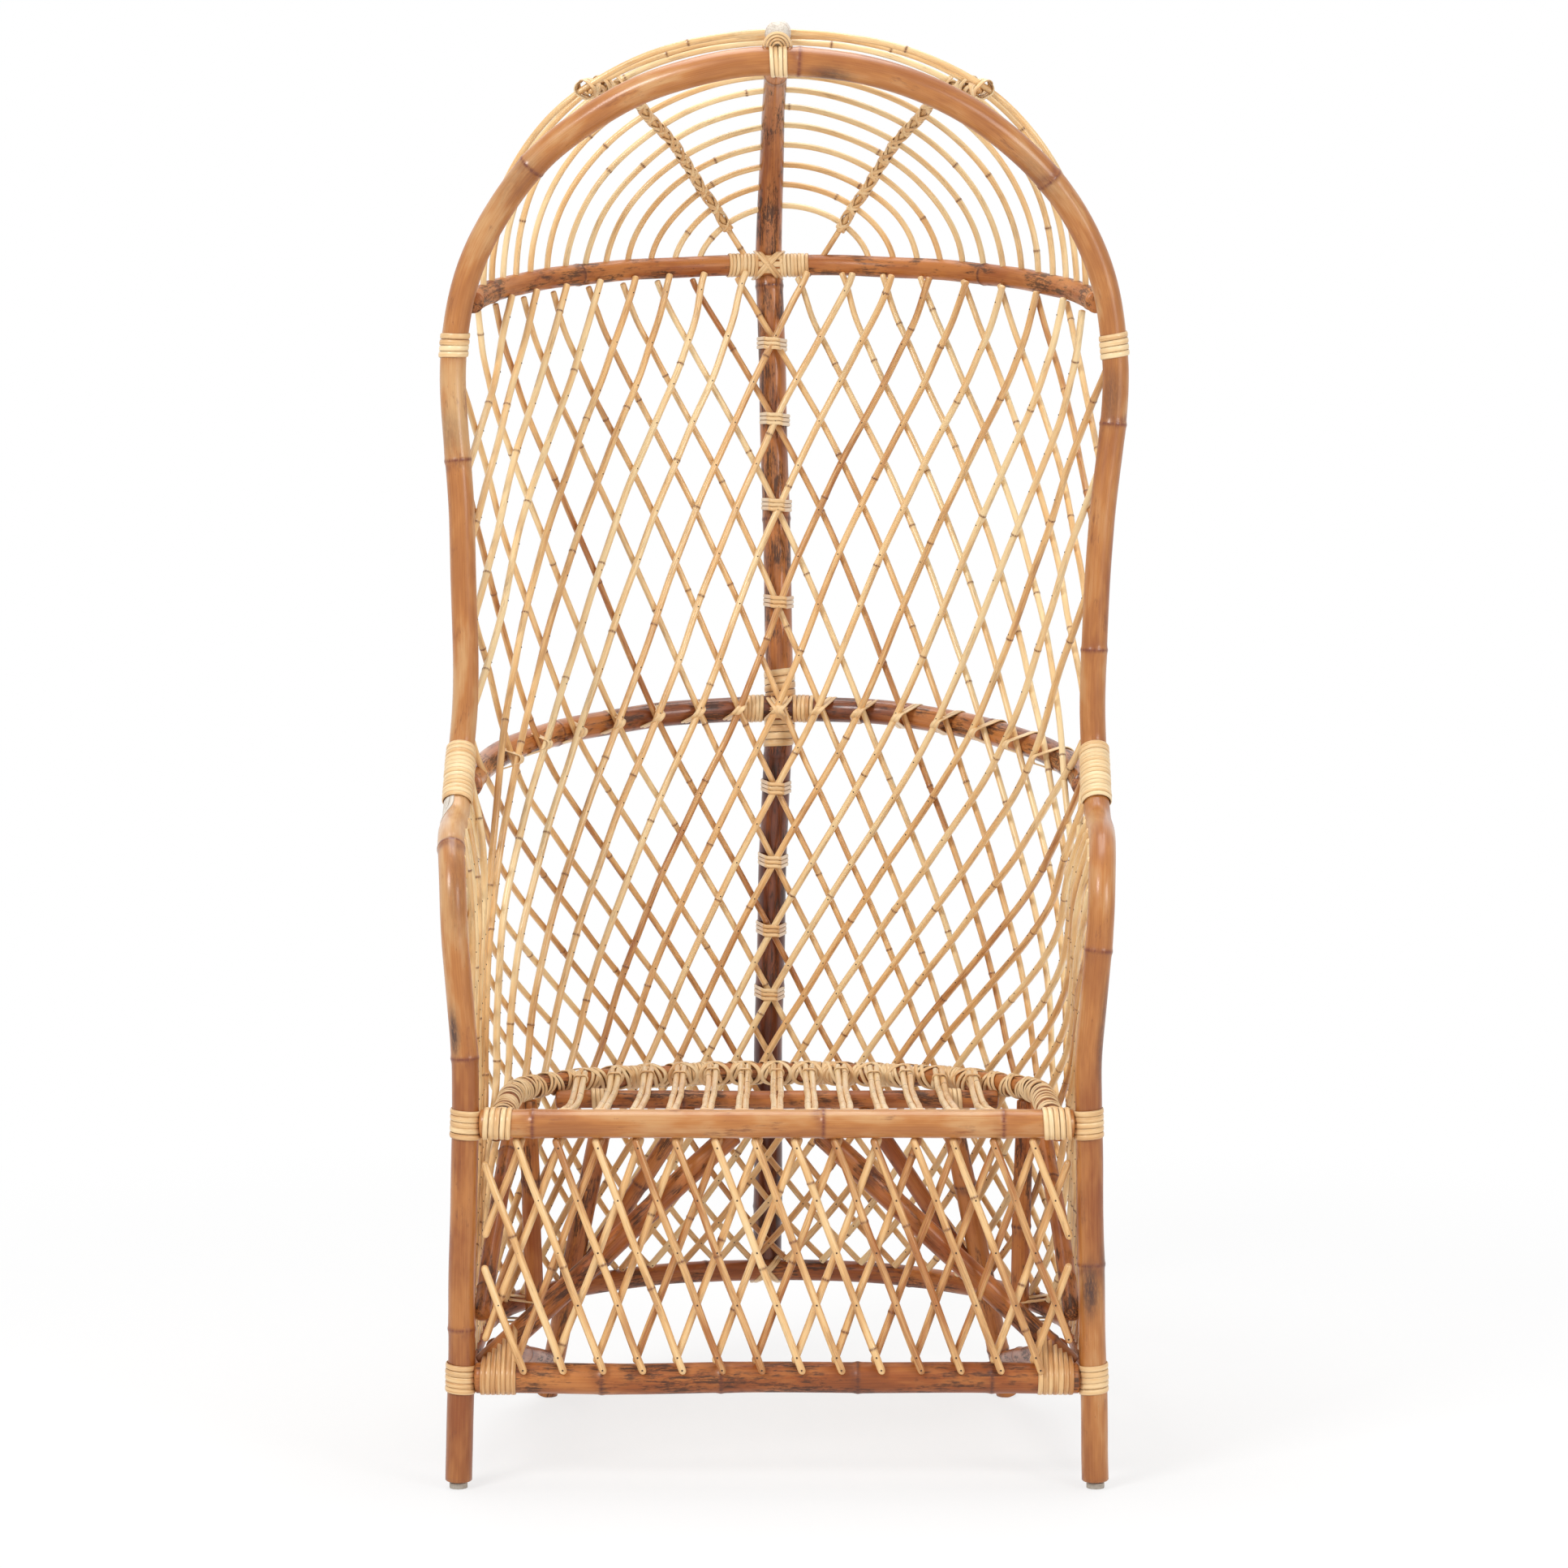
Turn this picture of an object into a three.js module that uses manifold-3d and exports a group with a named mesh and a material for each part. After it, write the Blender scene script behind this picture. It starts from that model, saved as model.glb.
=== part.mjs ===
// Hooded rattan armchair: bent poles, two-layer cane lattice, arched hood and wound cane bindings.
// Millimetres, +Z up. Y counts back from the plane of the front posts, so the front faces -Y.
import * as THREE from 'three';
import Module from 'manifold-3d';

const wasm = await Module();
wasm.setup();

// Clearances
const SEAT_GAP = 0.3;
const TURN_GAP = 0.6;

// Pole radii
const POST_R = 15;
const HOOP_R = 15;
const SPINE_R_LOW = 18;
const SPINE_R_TOP = 14;
const UPPER_RAIL_R = 13;
const MID_RAIL_R = 14;
const BACK_RAIL_R = 13;
const FRONT_RAIL_R = 18;
const SEAT_RAIL_R = 16;
const SEAT_RING_R = 13;
const CROSS_RAIL_R = 11;
const REAR_LEG_R = 13;
const UPRIGHT_R = 11;
const FRONT_BRACE_R = 13;
const THIN_BRACE_R = 10;

// Cane radii and binding strip
const CANE_R = 4.3;
const ARC_R = 3.8;
const RIB_R = 5;
const SLAT_R = 3.7;
const PIN_R = 1.2;
const STRIP_THICK = 2.2;

// Front posts and arms
const POST_HALF_FOOT = 354;
const POST_HALF_SEAT = 345;
const PLUG_R = 10;
const PLUG_H = 6;
// Bends of the arm, with the share of the way out to the splice of the first three
const ARM_SWELL_Z = 487;
const ARM_SIDE_Z = 610;
const ARM_SIDE_SHARE = 0.5;
const ARM_TURN_Z = 674;
const ARM_TURN_DEPTH = 10;
const ARM_TURN_SHARE = 0.65;
const ARM_FRONT_Z = 713;
const ARM_FRONT_SHARE = 0.85;
const ARM_FRONT_DEPTH = 50;
const ARM_REST_Z = 733;
const ARM_REST_DEPTH = 165;

// Hood hoop
const SPLICE_HALF = 367;
const SPLICE_DEPTH = 212;
const SPLICE_Z = 778;
const SPLICE_SLOPE = 48;
const BINDING_HALF = 40;
const HOOP_DEPTH = 240;
const HOOP_FOOT_Z = 873;
const HOOP_HALF_LOW = 364;
const HOOP_MID_Z = 1067;
const HOOP_HALF_MID = 370;
const HOOP_HALF = 382;
const HOOP_SPRING_Z = 1260;
const HOOP_RISE = 332;
const HOOP_LEAN = 85;
const ARCH_TURNS = [0, 20, 40, 60, 75, 90, 105, 120, 140, 160, 180];

// Back wall: heights at the spine, drop towards the sides, half widths and depth radii
const BACK_RAIL_Z = 125;
const MID_RAIL_Z = 833;
const UPPER_RAIL_Z = 1391;
const SIDE_DROP = 67;
const WALL_CENTRE_DEPTH = 250;
const WALL_HALF_LOW = 350;
const WALL_HALF_MID = 357;
const WALL_HALF_TOP = 361;
const WALL_DEPTH_LOW = 370;
const WALL_DEPTH_MID = 390;
const WALL_DEPTH_TOP = 430;
const SPINE_SETBACK = 17;
const HOOD_RISE = 254;
const HOOD_TURNS = [0, 15, 30, 45, 60, 75, 90];
const MID_RAIL_PAST = 0.42;

// Seat
const SEAT_RAIL_Z = 407;
const SEAT_RING_HALF = 312;
const SEAT_RING_DEPTH = 540;
const SEAT_RING_CORNER_DEPTH = 290;
const SEAT_RING_FRONT_Z = 396;
const SEAT_RING_BACK_Z = 386;
const CROSS_RAIL_DEPTH = 400;
const CROSS_RAIL_Z = 374;
const SLAT_PAIRS = 13;
const SLAT_PITCH = 39.5;

// Under the seat
const FRONT_RAIL_Z = 123;
const REAR_FOOT_HALF = 282;
const REAR_LEG_RAKE = 62;
const REAR_TOP_HALF = 206;
const STRETCHER_FRONT_Z = 152;
const STRETCHER_BACK_Z = 45;
const FRONT_BRACE_FOOT_HALF = 318;
const FRONT_BRACE_TOP_HALF = 46;
const FRONT_BRACE_DEPTH = 30;
const REAR_BRACE_TOP_HALF = 60;
const SIDE_BRACE_FOOT_HALF = 329;
const SIDE_BRACE_FOOT_DEPTH = 10;
const SIDE_BRACE_FOOT_Z = 190;
const SIDE_BRACE_TOP_DEPTH = 325;
const UPRIGHT_ANGLE = 70;
const UPRIGHT_INSET = 41;

// Cane work
const COLUMN_ANGLE = 8;
const COLUMN_ANGLE_TOP = 9;
const SIDE_PITCH = 52;
const ROW_RISE_UP = 141;
const ROW_FADE_UP = 6.6;
const ROW_RISE_DOWN = 103;
const ROW_FADE_DOWN = 2.8;
const ARC_COUNT = 13;
const SKIRT_PITCH = 44;
const SKIRT_RUN = 97;
const SKIRT_LAP = 0.6;
const SKIRT_CLEAR = 1;
const SKIRT_STARTS = 12;
const LATTICE_STARTS = 24;
const LAYER_GAP = 3;
const SIDE_SHIFT = 10.5;
const SIDE_FROM = 50;
const SIDE_ROWS = 2;
const BULGE_ROWS = 4;
const HOOD_LAST_ANGLE = 87;
const SIDE_COLUMNS = 15.6;
const SHORTEST_ROWS = 1.5;
const END_ROWS = 0.3;
const END_LAP = 1 / 3;
const ROW_LOW = -9.5;
const ROW_HIGH = 5.5;
const ROW_STEP = 0.05;
const NAIL_MARGIN = 0.15;
const ARC_FIRST = 14.7;
const ARC_STEP = 5.35;
const ARC_SPINE_FIRST = 17;
const ARC_SPINE_STEP = 6;
const RIB_FOOT_HALF = 48;
const RIB_TURN = 40;
const RIB_LET_IN = 0.8;
const SLAT_LET_IN = 1;

// Bindings
const ARM_BINDING_TURNS = 12;
const STRAP_LENGTH = 28;
const STRAP_TURNS = 4;
const WRAP_TURNS = 5;
const UPPER_WRAP_LENGTH = 34;
const MID_WRAP_LENGTH = 19;
const BOTTOM_WRAP_LENGTH = 36;
const EDGE_TURNS = 7;
const EDGE_WIDTH = 7;
const BEND_ROOM = 1.7;
const WRAP_SETBACK = 4;

// Facets
const ARM_STEPS = 16;
const HOOP_STEPS = 45;
const HOOD_STEPS = 14;
const RAIL_STEP = 10;
const BACK_RAIL_STEP = 11.25;
const RING_STEP = 15;
const CANE_RING_ROWS = 2;
const POLE_SIDES = 8;
const CANE_SIDES = 4;
const TURN_STEPS = 6;
const ARC_STEPS = 6;
const ARC_TRIALS = 400;
const RIB_SIDES = 5;
const PIN_SIDES = 3;
const PLUG_SIDES = 12;
const SIDEWAYS = 0.8;

// A square section with the area of a round cane: corner radius and half thickness, in cane radii
const SQUARE_SHARE = Math.sqrt(Math.PI / 2);
const FLAT_SHARE = SQUARE_SHARE / Math.SQRT2;

const degrees = THREE.MathUtils.degToRad;
const lerp = THREE.MathUtils.lerp;
const clamp = THREE.MathUtils.clamp;
const at = (x, y, z) => new THREE.Vector3(x, y, z);

// Closed skin over a row of rings that all have the same number of points
function skin(rings) {
  const sides = rings[0].length;
  const index = [];
  const corner = (ring, side) => ring * sides + (side % sides);
  for (let ring = 0; ring + 1 < rings.length; ring += 1) {
    for (let side = 0; side < sides; side += 1) {
      index.push(corner(ring, side), corner(ring, side + 1), corner(ring + 1, side));
      index.push(corner(ring, side + 1), corner(ring + 1, side + 1), corner(ring + 1, side));
    }
  }
  const last = rings.length - 1;
  for (let side = 1; side + 1 < sides; side += 1) {
    index.push(corner(0, 0), corner(0, side + 1), corner(0, side));
    index.push(corner(last, 0), corner(last, side), corner(last, side + 1));
  }
  const geometry = new THREE.BufferGeometry();
  const places = rings.flat().flatMap((point) => point.toArray());
  geometry.setAttribute('position', new THREE.Float32BufferAttribute(places, 3));
  geometry.setIndex(index);
  return geometry;
}

// Round bar along a row of points; the radius is a number or a function of the share of the way along
function tube(points, radius, sides = POLE_SIDES, normals = null) {
  const radiusAt = typeof radius === 'function' ? radius : () => radius;
  const last = points.length - 1;
  const nextTo = (i) => points[clamp(i, 0, last)];
  const tangent = (i) => nextTo(i + 1).clone().sub(nextTo(i - 1)).normalize();
  const first = tangent(0);
  let normal = Math.abs(first.x) < SIDEWAYS ? at(1, 0, 0) : at(0, 0, 1);
  const rings = points.map((point, i) => {
    const along = tangent(i);
    normal = (normals ? normals[i] : normal).clone();
    normal.addScaledVector(along, -normal.dot(along)).normalize();
    const across = along.clone().cross(normal);
    const r = radiusAt(i / last);
    return Array.from({ length: sides }, (_, side) => {
      const angle = ((side + 0.5) / sides) * 2 * Math.PI;
      return point.clone()
        .addScaledVector(normal, r * Math.cos(angle))
        .addScaledVector(across, r * Math.sin(angle));
    });
  });
  return skin(rings);
}

function toSolid(geometry) {
  return new wasm.Manifold(new wasm.Mesh({
    numProp: 3,
    vertProperties: new Float32Array(geometry.attributes.position.array),
    triVerts: new Uint32Array(geometry.index.array),
  }));
}

function toGeometry(solid) {
  const mesh = solid.getMesh();
  const geometry = new THREE.BufferGeometry();
  geometry.setAttribute('position', new THREE.Float32BufferAttribute(mesh.vertProperties, 3));
  geometry.setIndex(Array.from(mesh.triVerts));
  return geometry;
}

// The largest body that is left after a cut
function mainBody(solid) {
  return solid.decompose().sort((a, b) => b.volume() - a.volume())[0];
}

// Bars that other pieces keep clear of, by name
const bars = {};

function grown(bar, extra) {
  const wider = extra / Math.cos(Math.PI / POLE_SIDES);
  const radiusAt = typeof bar.radius === 'function' ? bar.radius : () => bar.radius;
  return toSolid(tube(bar.points, (share) => radiusAt(share) + wider));
}

// Cuts a piece back from its neighbours, so that it seats on each with the seat gap
function seated(geometry, neighbours) {
  if (neighbours.length === 0) return geometry;
  const clearOf = (solid, name) => solid.subtract(grown(bars[name], SEAT_GAP));
  const cut = neighbours.reduce(clearOf, toSolid(geometry));
  return toGeometry(mainBody(cut));
}

const material = (color, roughness) => new THREE.MeshStandardMaterial({ color, roughness, metalness: 0 });
const honeyPole = material(0xb97a42, 0.4);
const darkPole = material(0x7d4728, 0.45);
const paleCane = material(0xd9b276, 0.5);
const splitCane = material(0xe4cb99, 0.55);
const plugGrey = material(0x8d857a, 0.7);

const chair = new THREE.Group();

function addPiece(name, geometry, finish) {
  const mesh = new THREE.Mesh(geometry, finish);
  mesh.name = name;
  chair.add(mesh);
}

function addPole(name, points, radius, finish, neighbours = []) {
  bars[name] = { points, radius };
  addPiece(name, seated(tube(points, radius), neighbours), finish);
}

function bent(points, steps) {
  return new THREE.CatmullRomCurve3(points, false, 'centripetal').getSpacedPoints(steps);
}

const sides = [['left', -1], ['right', 1]];

// Wall outline at a height: half width and depth radius run straight between the three rails
function wallSize(z, low, mid, top) {
  if (z < MID_RAIL_Z) return lerp(low, mid, (z - BACK_RAIL_Z) / (MID_RAIL_Z - BACK_RAIL_Z));
  return lerp(mid, top, (z - MID_RAIL_Z) / (UPPER_RAIL_Z - MID_RAIL_Z));
}

const wallDepth = (z) => wallSize(z, WALL_DEPTH_LOW, WALL_DEPTH_MID, WALL_DEPTH_TOP);
const wallHalf = (z) => wallSize(z, WALL_HALF_LOW, WALL_HALF_MID, WALL_HALF_TOP);

// Point on the wall's plan line: spineZ is the height that its level has at the spine
function wallLine(spineZ, angle) {
  const fade = clamp((spineZ - BACK_RAIL_Z) / (MID_RAIL_Z - BACK_RAIL_Z), 0, 1);
  const round = clamp(angle, -Math.PI / 2, Math.PI / 2);
  const past = (Math.abs(angle) - Math.abs(round)) / degrees(COLUMN_ANGLE);
  const half = wallHalf(spineZ);
  const depth = wallDepth(spineZ);
  const point = at(
    half * Math.sin(round),
    WALL_CENTRE_DEPTH + depth * Math.cos(round) - past * SIDE_PITCH,
    spineZ - SIDE_DROP * fade * (1 - Math.cos(round)),
  );
  const inward = at(-Math.sin(round) / half, -Math.cos(round) / depth, 0).normalize();
  return { point, inward };
}

// Split cane wound round a bar from start to end as one unbroken strip.
const leastGaps = [];

function addWinding(name, start, end, radius, turns, width = null) {
  const length = start.distanceTo(end);
  const pitch = width ? (length - width) / turns : (length + TURN_GAP) / (turns + 1);
  const half = (width ?? pitch - TURN_GAP) / 2;
  const axis = end.clone().sub(start).normalize();
  const ahead = Math.abs(axis.y) < SIDEWAYS ? at(0, -1, 0) : at(0, 0, 1);
  const front = ahead.addScaledVector(axis, -ahead.dot(axis)).normalize();
  const across = axis.clone().cross(front);
  const reach = (radius + SEAT_GAP) / Math.cos(Math.PI / TURN_STEPS);
  const rings = Array.from({ length: turns * TURN_STEPS + 1 }, (_, step) => {
    const turn = step / TURN_STEPS;
    const angle = turn * 2 * Math.PI;
    const away = front.clone().multiplyScalar(Math.cos(angle)).addScaledVector(across, Math.sin(angle));
    const inner = start.clone().addScaledVector(axis, half + turn * pitch).addScaledVector(away, reach);
    const outside = inner.clone().addScaledVector(away, STRIP_THICK);
    return [[outside, half], [outside, -half], [inner, -half], [inner, half]]
      .map(([point, shift]) => point.clone().addScaledVector(axis, shift));
  });
  let least = Infinity;
  rings.forEach((ring, i) => rings.slice(i + TURN_STEPS - 1).forEach((later) => {
    ring.forEach((p) => later.forEach((q) => { least = Math.min(least, p.distanceTo(q)); }));
  }));
  leastGaps.push([name, least]);
  const envelope = (reach + STRIP_THICK) / Math.cos(Math.PI / POLE_SIDES);
  bars[name] = { points: [start, end], radius: envelope };
  addPiece(name, skin(rings), splitCane);
}

// Posts and hoop: one bent line on each side, spliced under the arm binding
const spliceAt = (side) => at(side * SPLICE_HALF, SPLICE_DEPTH, SPLICE_Z);
const spliceDirection = at(0, Math.cos(degrees(SPLICE_SLOPE)), Math.sin(degrees(SPLICE_SLOPE)));
const nearSplice = (side, away) => spliceAt(side).addScaledVector(spliceDirection, away);

const postAt = (side, z) => at(side * lerp(POST_HALF_FOOT, POST_HALF_SEAT, z / SEAT_RAIL_Z), 0, z);

function postPoints(side) {
  const bend = (share, depth, z) => at(side * lerp(POST_HALF_SEAT, SPLICE_HALF, share), depth, z);
  const arm = bent([
    bend(0, 0, SEAT_RAIL_Z + STRAP_LENGTH),
    bend(0, 0, ARM_SWELL_Z),
    bend(ARM_SIDE_SHARE, 0, ARM_SIDE_Z),
    bend(ARM_TURN_SHARE, ARM_TURN_DEPTH, ARM_TURN_Z),
    bend(ARM_FRONT_SHARE, ARM_FRONT_DEPTH, ARM_FRONT_Z),
    bend(1, ARM_REST_DEPTH, ARM_REST_Z),
    nearSplice(side, -BINDING_HALF),
    nearSplice(side, -1),
  ], ARM_STEPS);
  return [postAt(side, PLUG_H + SEAT_GAP), postAt(side, SEAT_RAIL_Z), ...arm, nearSplice(side, 0)];
}

function hoopPoints() {
  const leg = (side) => [
    nearSplice(side, 2 * SEAT_GAP + 1),
    nearSplice(side, BINDING_HALF),
    at(side * HOOP_HALF_LOW, HOOP_DEPTH, HOOP_FOOT_Z),
    at(side * HOOP_HALF_MID, HOOP_DEPTH, HOOP_MID_Z),
  ];
  const arch = ARCH_TURNS.map((turn) => {
    const rise = Math.sin(degrees(turn));
    const lean = HOOP_DEPTH - HOOP_LEAN * rise * rise;
    return at(-HOOP_HALF * Math.cos(degrees(turn)), lean, HOOP_SPRING_Z + HOOP_RISE * rise);
  });
  const line = bent([...leg(-1), ...arch, ...leg(1).reverse()], HOOP_STEPS);
  return [nearSplice(-1, 2 * SEAT_GAP), ...line, nearSplice(1, 2 * SEAT_GAP)];
}

for (const [word, side] of sides) {
  addPole(`front_post_${word}`, postPoints(side), POST_R, honeyPole);
  const plug = new THREE.CylinderGeometry(PLUG_R, PLUG_R, PLUG_H, PLUG_SIDES).rotateX(Math.PI / 2);
  addPiece(`foot_plug_${word}`, plug.translate(side * POST_HALF_FOOT, 0, PLUG_H / 2), plugGrey);
}
addPole('hood_hoop', hoopPoints(), HOOP_R, honeyPole);
const hoopTop = at(0, HOOP_DEPTH - HOOP_LEAN, HOOP_SPRING_Z + HOOP_RISE);

// Start and end of a strap on the straight run of the hoop that lies nearest a point
function strapOnHoop(near) {
  const { points } = bars.hood_hoop;
  const runs = points.slice(1).map((end, i) => new THREE.Line3(points[i], end));
  const middle = (run) => run.getCenter(at(0, 0, 0));
  const best = runs.sort((a, b) => middle(a).distanceTo(near) - middle(b).distanceTo(near))[0];
  const along = best.delta(at(0, 0, 0)).normalize();
  return [-1, 1].map((end) => middle(best).addScaledVector(along, (end * STRAP_LENGTH) / 2));
}

// Bindings on the posts and the hoop
for (const [word, side] of sides) {
  const splice = [nearSplice(side, -BINDING_HALF), nearSplice(side, BINDING_HALF)];
  addWinding(`arm_binding_${word}`, ...splice, POST_R + 2 * BEND_ROOM, ARM_BINDING_TURNS);
  const strap = (z) => [postAt(side, z - STRAP_LENGTH / 2), postAt(side, z + STRAP_LENGTH / 2)];
  addWinding(`seat_strap_${word}`, ...strap(SEAT_RAIL_Z), POST_R, STRAP_TURNS);
  addWinding(`bottom_strap_${word}`, ...strap(FRONT_RAIL_Z), POST_R, STRAP_TURNS);
  const spring = at(side * HOOP_HALF, HOOP_DEPTH, HOOP_SPRING_Z);
  addWinding(`hoop_strap_${word}`, ...strapOnHoop(spring), HOOP_R, STRAP_TURNS);
}
addWinding('hood_lashing', ...strapOnHoop(hoopTop), HOOP_R, STRAP_TURNS);

// Bottom back rail, bent from post to post
const posts = ['front_post_left', 'front_post_right'];
const wallAngles = (last, step) => {
  const count = Math.round(last / step);
  return Array.from({ length: 2 * count + 1 }, (_, i) => degrees((i - count) * (last / count)));
};
const backRailRound = wallAngles(90, BACK_RAIL_STEP).map((angle) => wallLine(BACK_RAIL_Z, angle).point);
addPole('back_rail', [
  postAt(-1, BACK_RAIL_Z), ...backRailRound, postAt(1, BACK_RAIL_Z),
], BACK_RAIL_R, darkPole, [...posts, 'bottom_strap_left', 'bottom_strap_right']);

// Spine: up the back and forward over the hood, its end resting on the hoop
const spineDepth = (z) => WALL_CENTRE_DEPTH + wallDepth(z) + SPINE_SETBACK;
const hoodProfile = (turn) => at(
  0,
  WALL_CENTRE_DEPTH + (WALL_DEPTH_TOP + SPINE_SETBACK) * Math.cos(turn),
  UPPER_RAIL_Z + HOOD_RISE * Math.sin(turn),
);
const spineR = (share) => lerp(SPINE_R_LOW, SPINE_R_TOP, Math.min(1, 2 * share));
const spineAt = (z) => at(0, spineDepth(z), z);
const hoodLine = bent([
  ...HOOD_TURNS.map((turn) => hoodProfile(degrees(turn))),
  hoopTop.clone().add(at(0, -HOOP_R / 2, HOOP_R + SPINE_R_TOP)),
], HOOD_STEPS);
addPole('spine', [spineAt(BACK_RAIL_Z), spineAt(MID_RAIL_Z), ...hoodLine], spineR, darkPole,
  ['back_rail', 'hood_hoop', 'hood_lashing']);

// Upper and mid rails, bent round the back and let in over the spine
addPole('upper_rail', wallAngles(90, RAIL_STEP).map((angle) => wallLine(UPPER_RAIL_Z, angle).point),
  UPPER_RAIL_R, honeyPole, ['spine', 'hood_hoop', 'hoop_strap_left', 'hoop_strap_right']);
const midRailEnd = 90 + COLUMN_ANGLE * MID_RAIL_PAST;
addPole('mid_rail', wallAngles(midRailEnd, RAIL_STEP).map((angle) => wallLine(MID_RAIL_Z, angle).point),
  MID_RAIL_R, honeyPole, ['spine', 'arm_binding_left', 'arm_binding_right']);

// Wraps beside and above the crossings of rails and spine
const onRail = (z, x) => wallLine(z, Math.asin(x / wallHalf(z))).point;
const wrapStart = SPINE_R_LOW + STRIP_THICK;
for (const [word, side] of sides) {
  const beside = (z, length) => [onRail(z, side * wrapStart), onRail(z, side * (wrapStart + length))];
  const upper = beside(UPPER_RAIL_Z, UPPER_WRAP_LENGTH);
  const mid = beside(MID_RAIL_Z, MID_WRAP_LENGTH);
  addWinding(`upper_wrap_${word}`, ...upper, UPPER_RAIL_R + BEND_ROOM, WRAP_TURNS);
  addWinding(`mid_wrap_${word}`, ...mid, MID_RAIL_R + BEND_ROOM, WRAP_TURNS);
}
for (const [word, side] of [['above', 1], ['below', -1]]) {
  const from = MID_RAIL_Z + side * (MID_RAIL_R + STRIP_THICK);
  const to = from + side * STRAP_LENGTH;
  addWinding(`spine_wrap_${word}`, spineAt(from), spineAt(to), SPINE_R_LOW, STRAP_TURNS);
}

// Seat front rail, bottom front rail and their end wraps
const straight = (a, b) => [a, b];
const postToPost = (z) => straight(at(-POST_HALF_SEAT, 0, z), at(POST_HALF_SEAT, 0, z));
addPole('seat_rail', postToPost(SEAT_RAIL_Z), SEAT_RAIL_R, honeyPole,
  [...posts, 'seat_strap_left', 'seat_strap_right']);
addPole('front_rail', postToPost(FRONT_RAIL_Z), FRONT_RAIL_R, darkPole,
  [...posts, 'bottom_strap_left', 'bottom_strap_right', 'back_rail']);
for (const [word, side] of sides) {
  const outer = (z) => Math.abs(postAt(side, z).x) - POST_R - STRIP_THICK - WRAP_SETBACK;
  const along = (z, length) => [0, length].map((inset) => at(side * (outer(z) - inset), 0, z));
  addWinding(`seat_wrap_${word}`, ...along(SEAT_RAIL_Z, STRAP_LENGTH), SEAT_RAIL_R, STRAP_TURNS);
  addWinding(`bottom_wrap_${word}`, ...along(FRONT_RAIL_Z, BOTTOM_WRAP_LENGTH), FRONT_RAIL_R, STRAP_TURNS);
}

// Seat ring and its side windings
const ringRound = wallAngles(90, RING_STEP).map((angle) => at(
  SEAT_RING_HALF * Math.sin(angle),
  lerp(SEAT_RING_CORNER_DEPTH, SEAT_RING_DEPTH, Math.cos(angle)),
  lerp(SEAT_RING_FRONT_Z, SEAT_RING_BACK_Z, Math.cos(angle)),
));
const ringFront = (side) => at(side * SEAT_RING_HALF, 0, SEAT_RING_FRONT_Z);
addPole('seat_ring', [ringFront(-1), ...ringRound, ringFront(1)], SEAT_RING_R, honeyPole,
  ['seat_rail', 'seat_wrap_left', 'seat_wrap_right']);
for (const [word, side] of sides) {
  const along = (y) => at(side * SEAT_RING_HALF, y, SEAT_RING_FRONT_Z);
  const from = SEAT_RAIL_R + SEAT_RING_R;
  const edge = [along(from), along(SEAT_RING_CORNER_DEPTH)];
  addWinding(`seat_edge_${word}`, ...edge, SEAT_RING_R, EDGE_TURNS, EDGE_WIDTH);
}

// Seat slats: pairs of canes fused to the cross rail that carries them
const slatFlat = SLAT_R * FLAT_SHARE;
const ringAt = (x) => {
  const turn = Math.sqrt(1 - (x / SEAT_RING_HALF) ** 2);
  const depth = lerp(SEAT_RING_CORNER_DEPTH, SEAT_RING_DEPTH, turn);
  return at(x, depth, lerp(SEAT_RING_FRONT_Z, SEAT_RING_BACK_Z, turn));
};
const ringRadiusDepth = SEAT_RING_DEPTH - SEAT_RING_CORNER_DEPTH;
const ringHalf = (depth) => SEAT_RING_HALF
  * Math.sqrt(1 - ((depth - SEAT_RING_CORNER_DEPTH) / ringRadiusDepth) ** 2);
const crossEnd = (side) => at(side * ringHalf(CROSS_RAIL_DEPTH), CROSS_RAIL_DEPTH, CROSS_RAIL_Z);
bars.cross_rail = { points: straight(crossEnd(-1), crossEnd(1)), radius: CROSS_RAIL_R };
let slats = toSolid(seated(tube(bars.cross_rail.points, CROSS_RAIL_R), ['seat_ring']));
const crossTop = CROSS_RAIL_Z + CROSS_RAIL_R * Math.cos(Math.PI / POLE_SIDES);
for (let pair = 0; pair < SLAT_PAIRS; pair += 1) {
  for (const [, side] of sides) {
    const x = (pair - (SLAT_PAIRS - 1) / 2) * SLAT_PITCH + side * (SLAT_R + SEAT_GAP);
    const ring = ringAt(x);
    const overRing = ring.z + SEAT_RING_R + slatFlat + 3 * SEAT_GAP;
    const line = [
      at(x, SEAT_RAIL_R + 2 * SEAT_GAP, SEAT_RAIL_Z + SLAT_R),
      at(x, CROSS_RAIL_DEPTH, crossTop + slatFlat - SLAT_LET_IN),
      at(x, ring.y - SEAT_RING_R, overRing),
      at(x, ring.y + SEAT_RING_R, overRing),
    ];
    const upright = line.map(() => at(0, 0, 1));
    slats = slats.add(toSolid(tube(line, SLAT_R * SQUARE_SHARE, CANE_SIDES, upright)));
  }
}
addPiece('seat_slats', toGeometry(mainBody(slats)), paleCane);

// Rear legs with flat feet, and the poles that brace them
function onFloor(geometry, direction) {
  const place = geometry.attributes.position;
  for (let i = 0; i < POLE_SIDES; i += 1) {
    const drop = place.getZ(i) / direction.z;
    place.setXYZ(i, place.getX(i) - direction.x * drop, place.getY(i) - direction.y * drop, 0);
  }
  return geometry;
}

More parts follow.
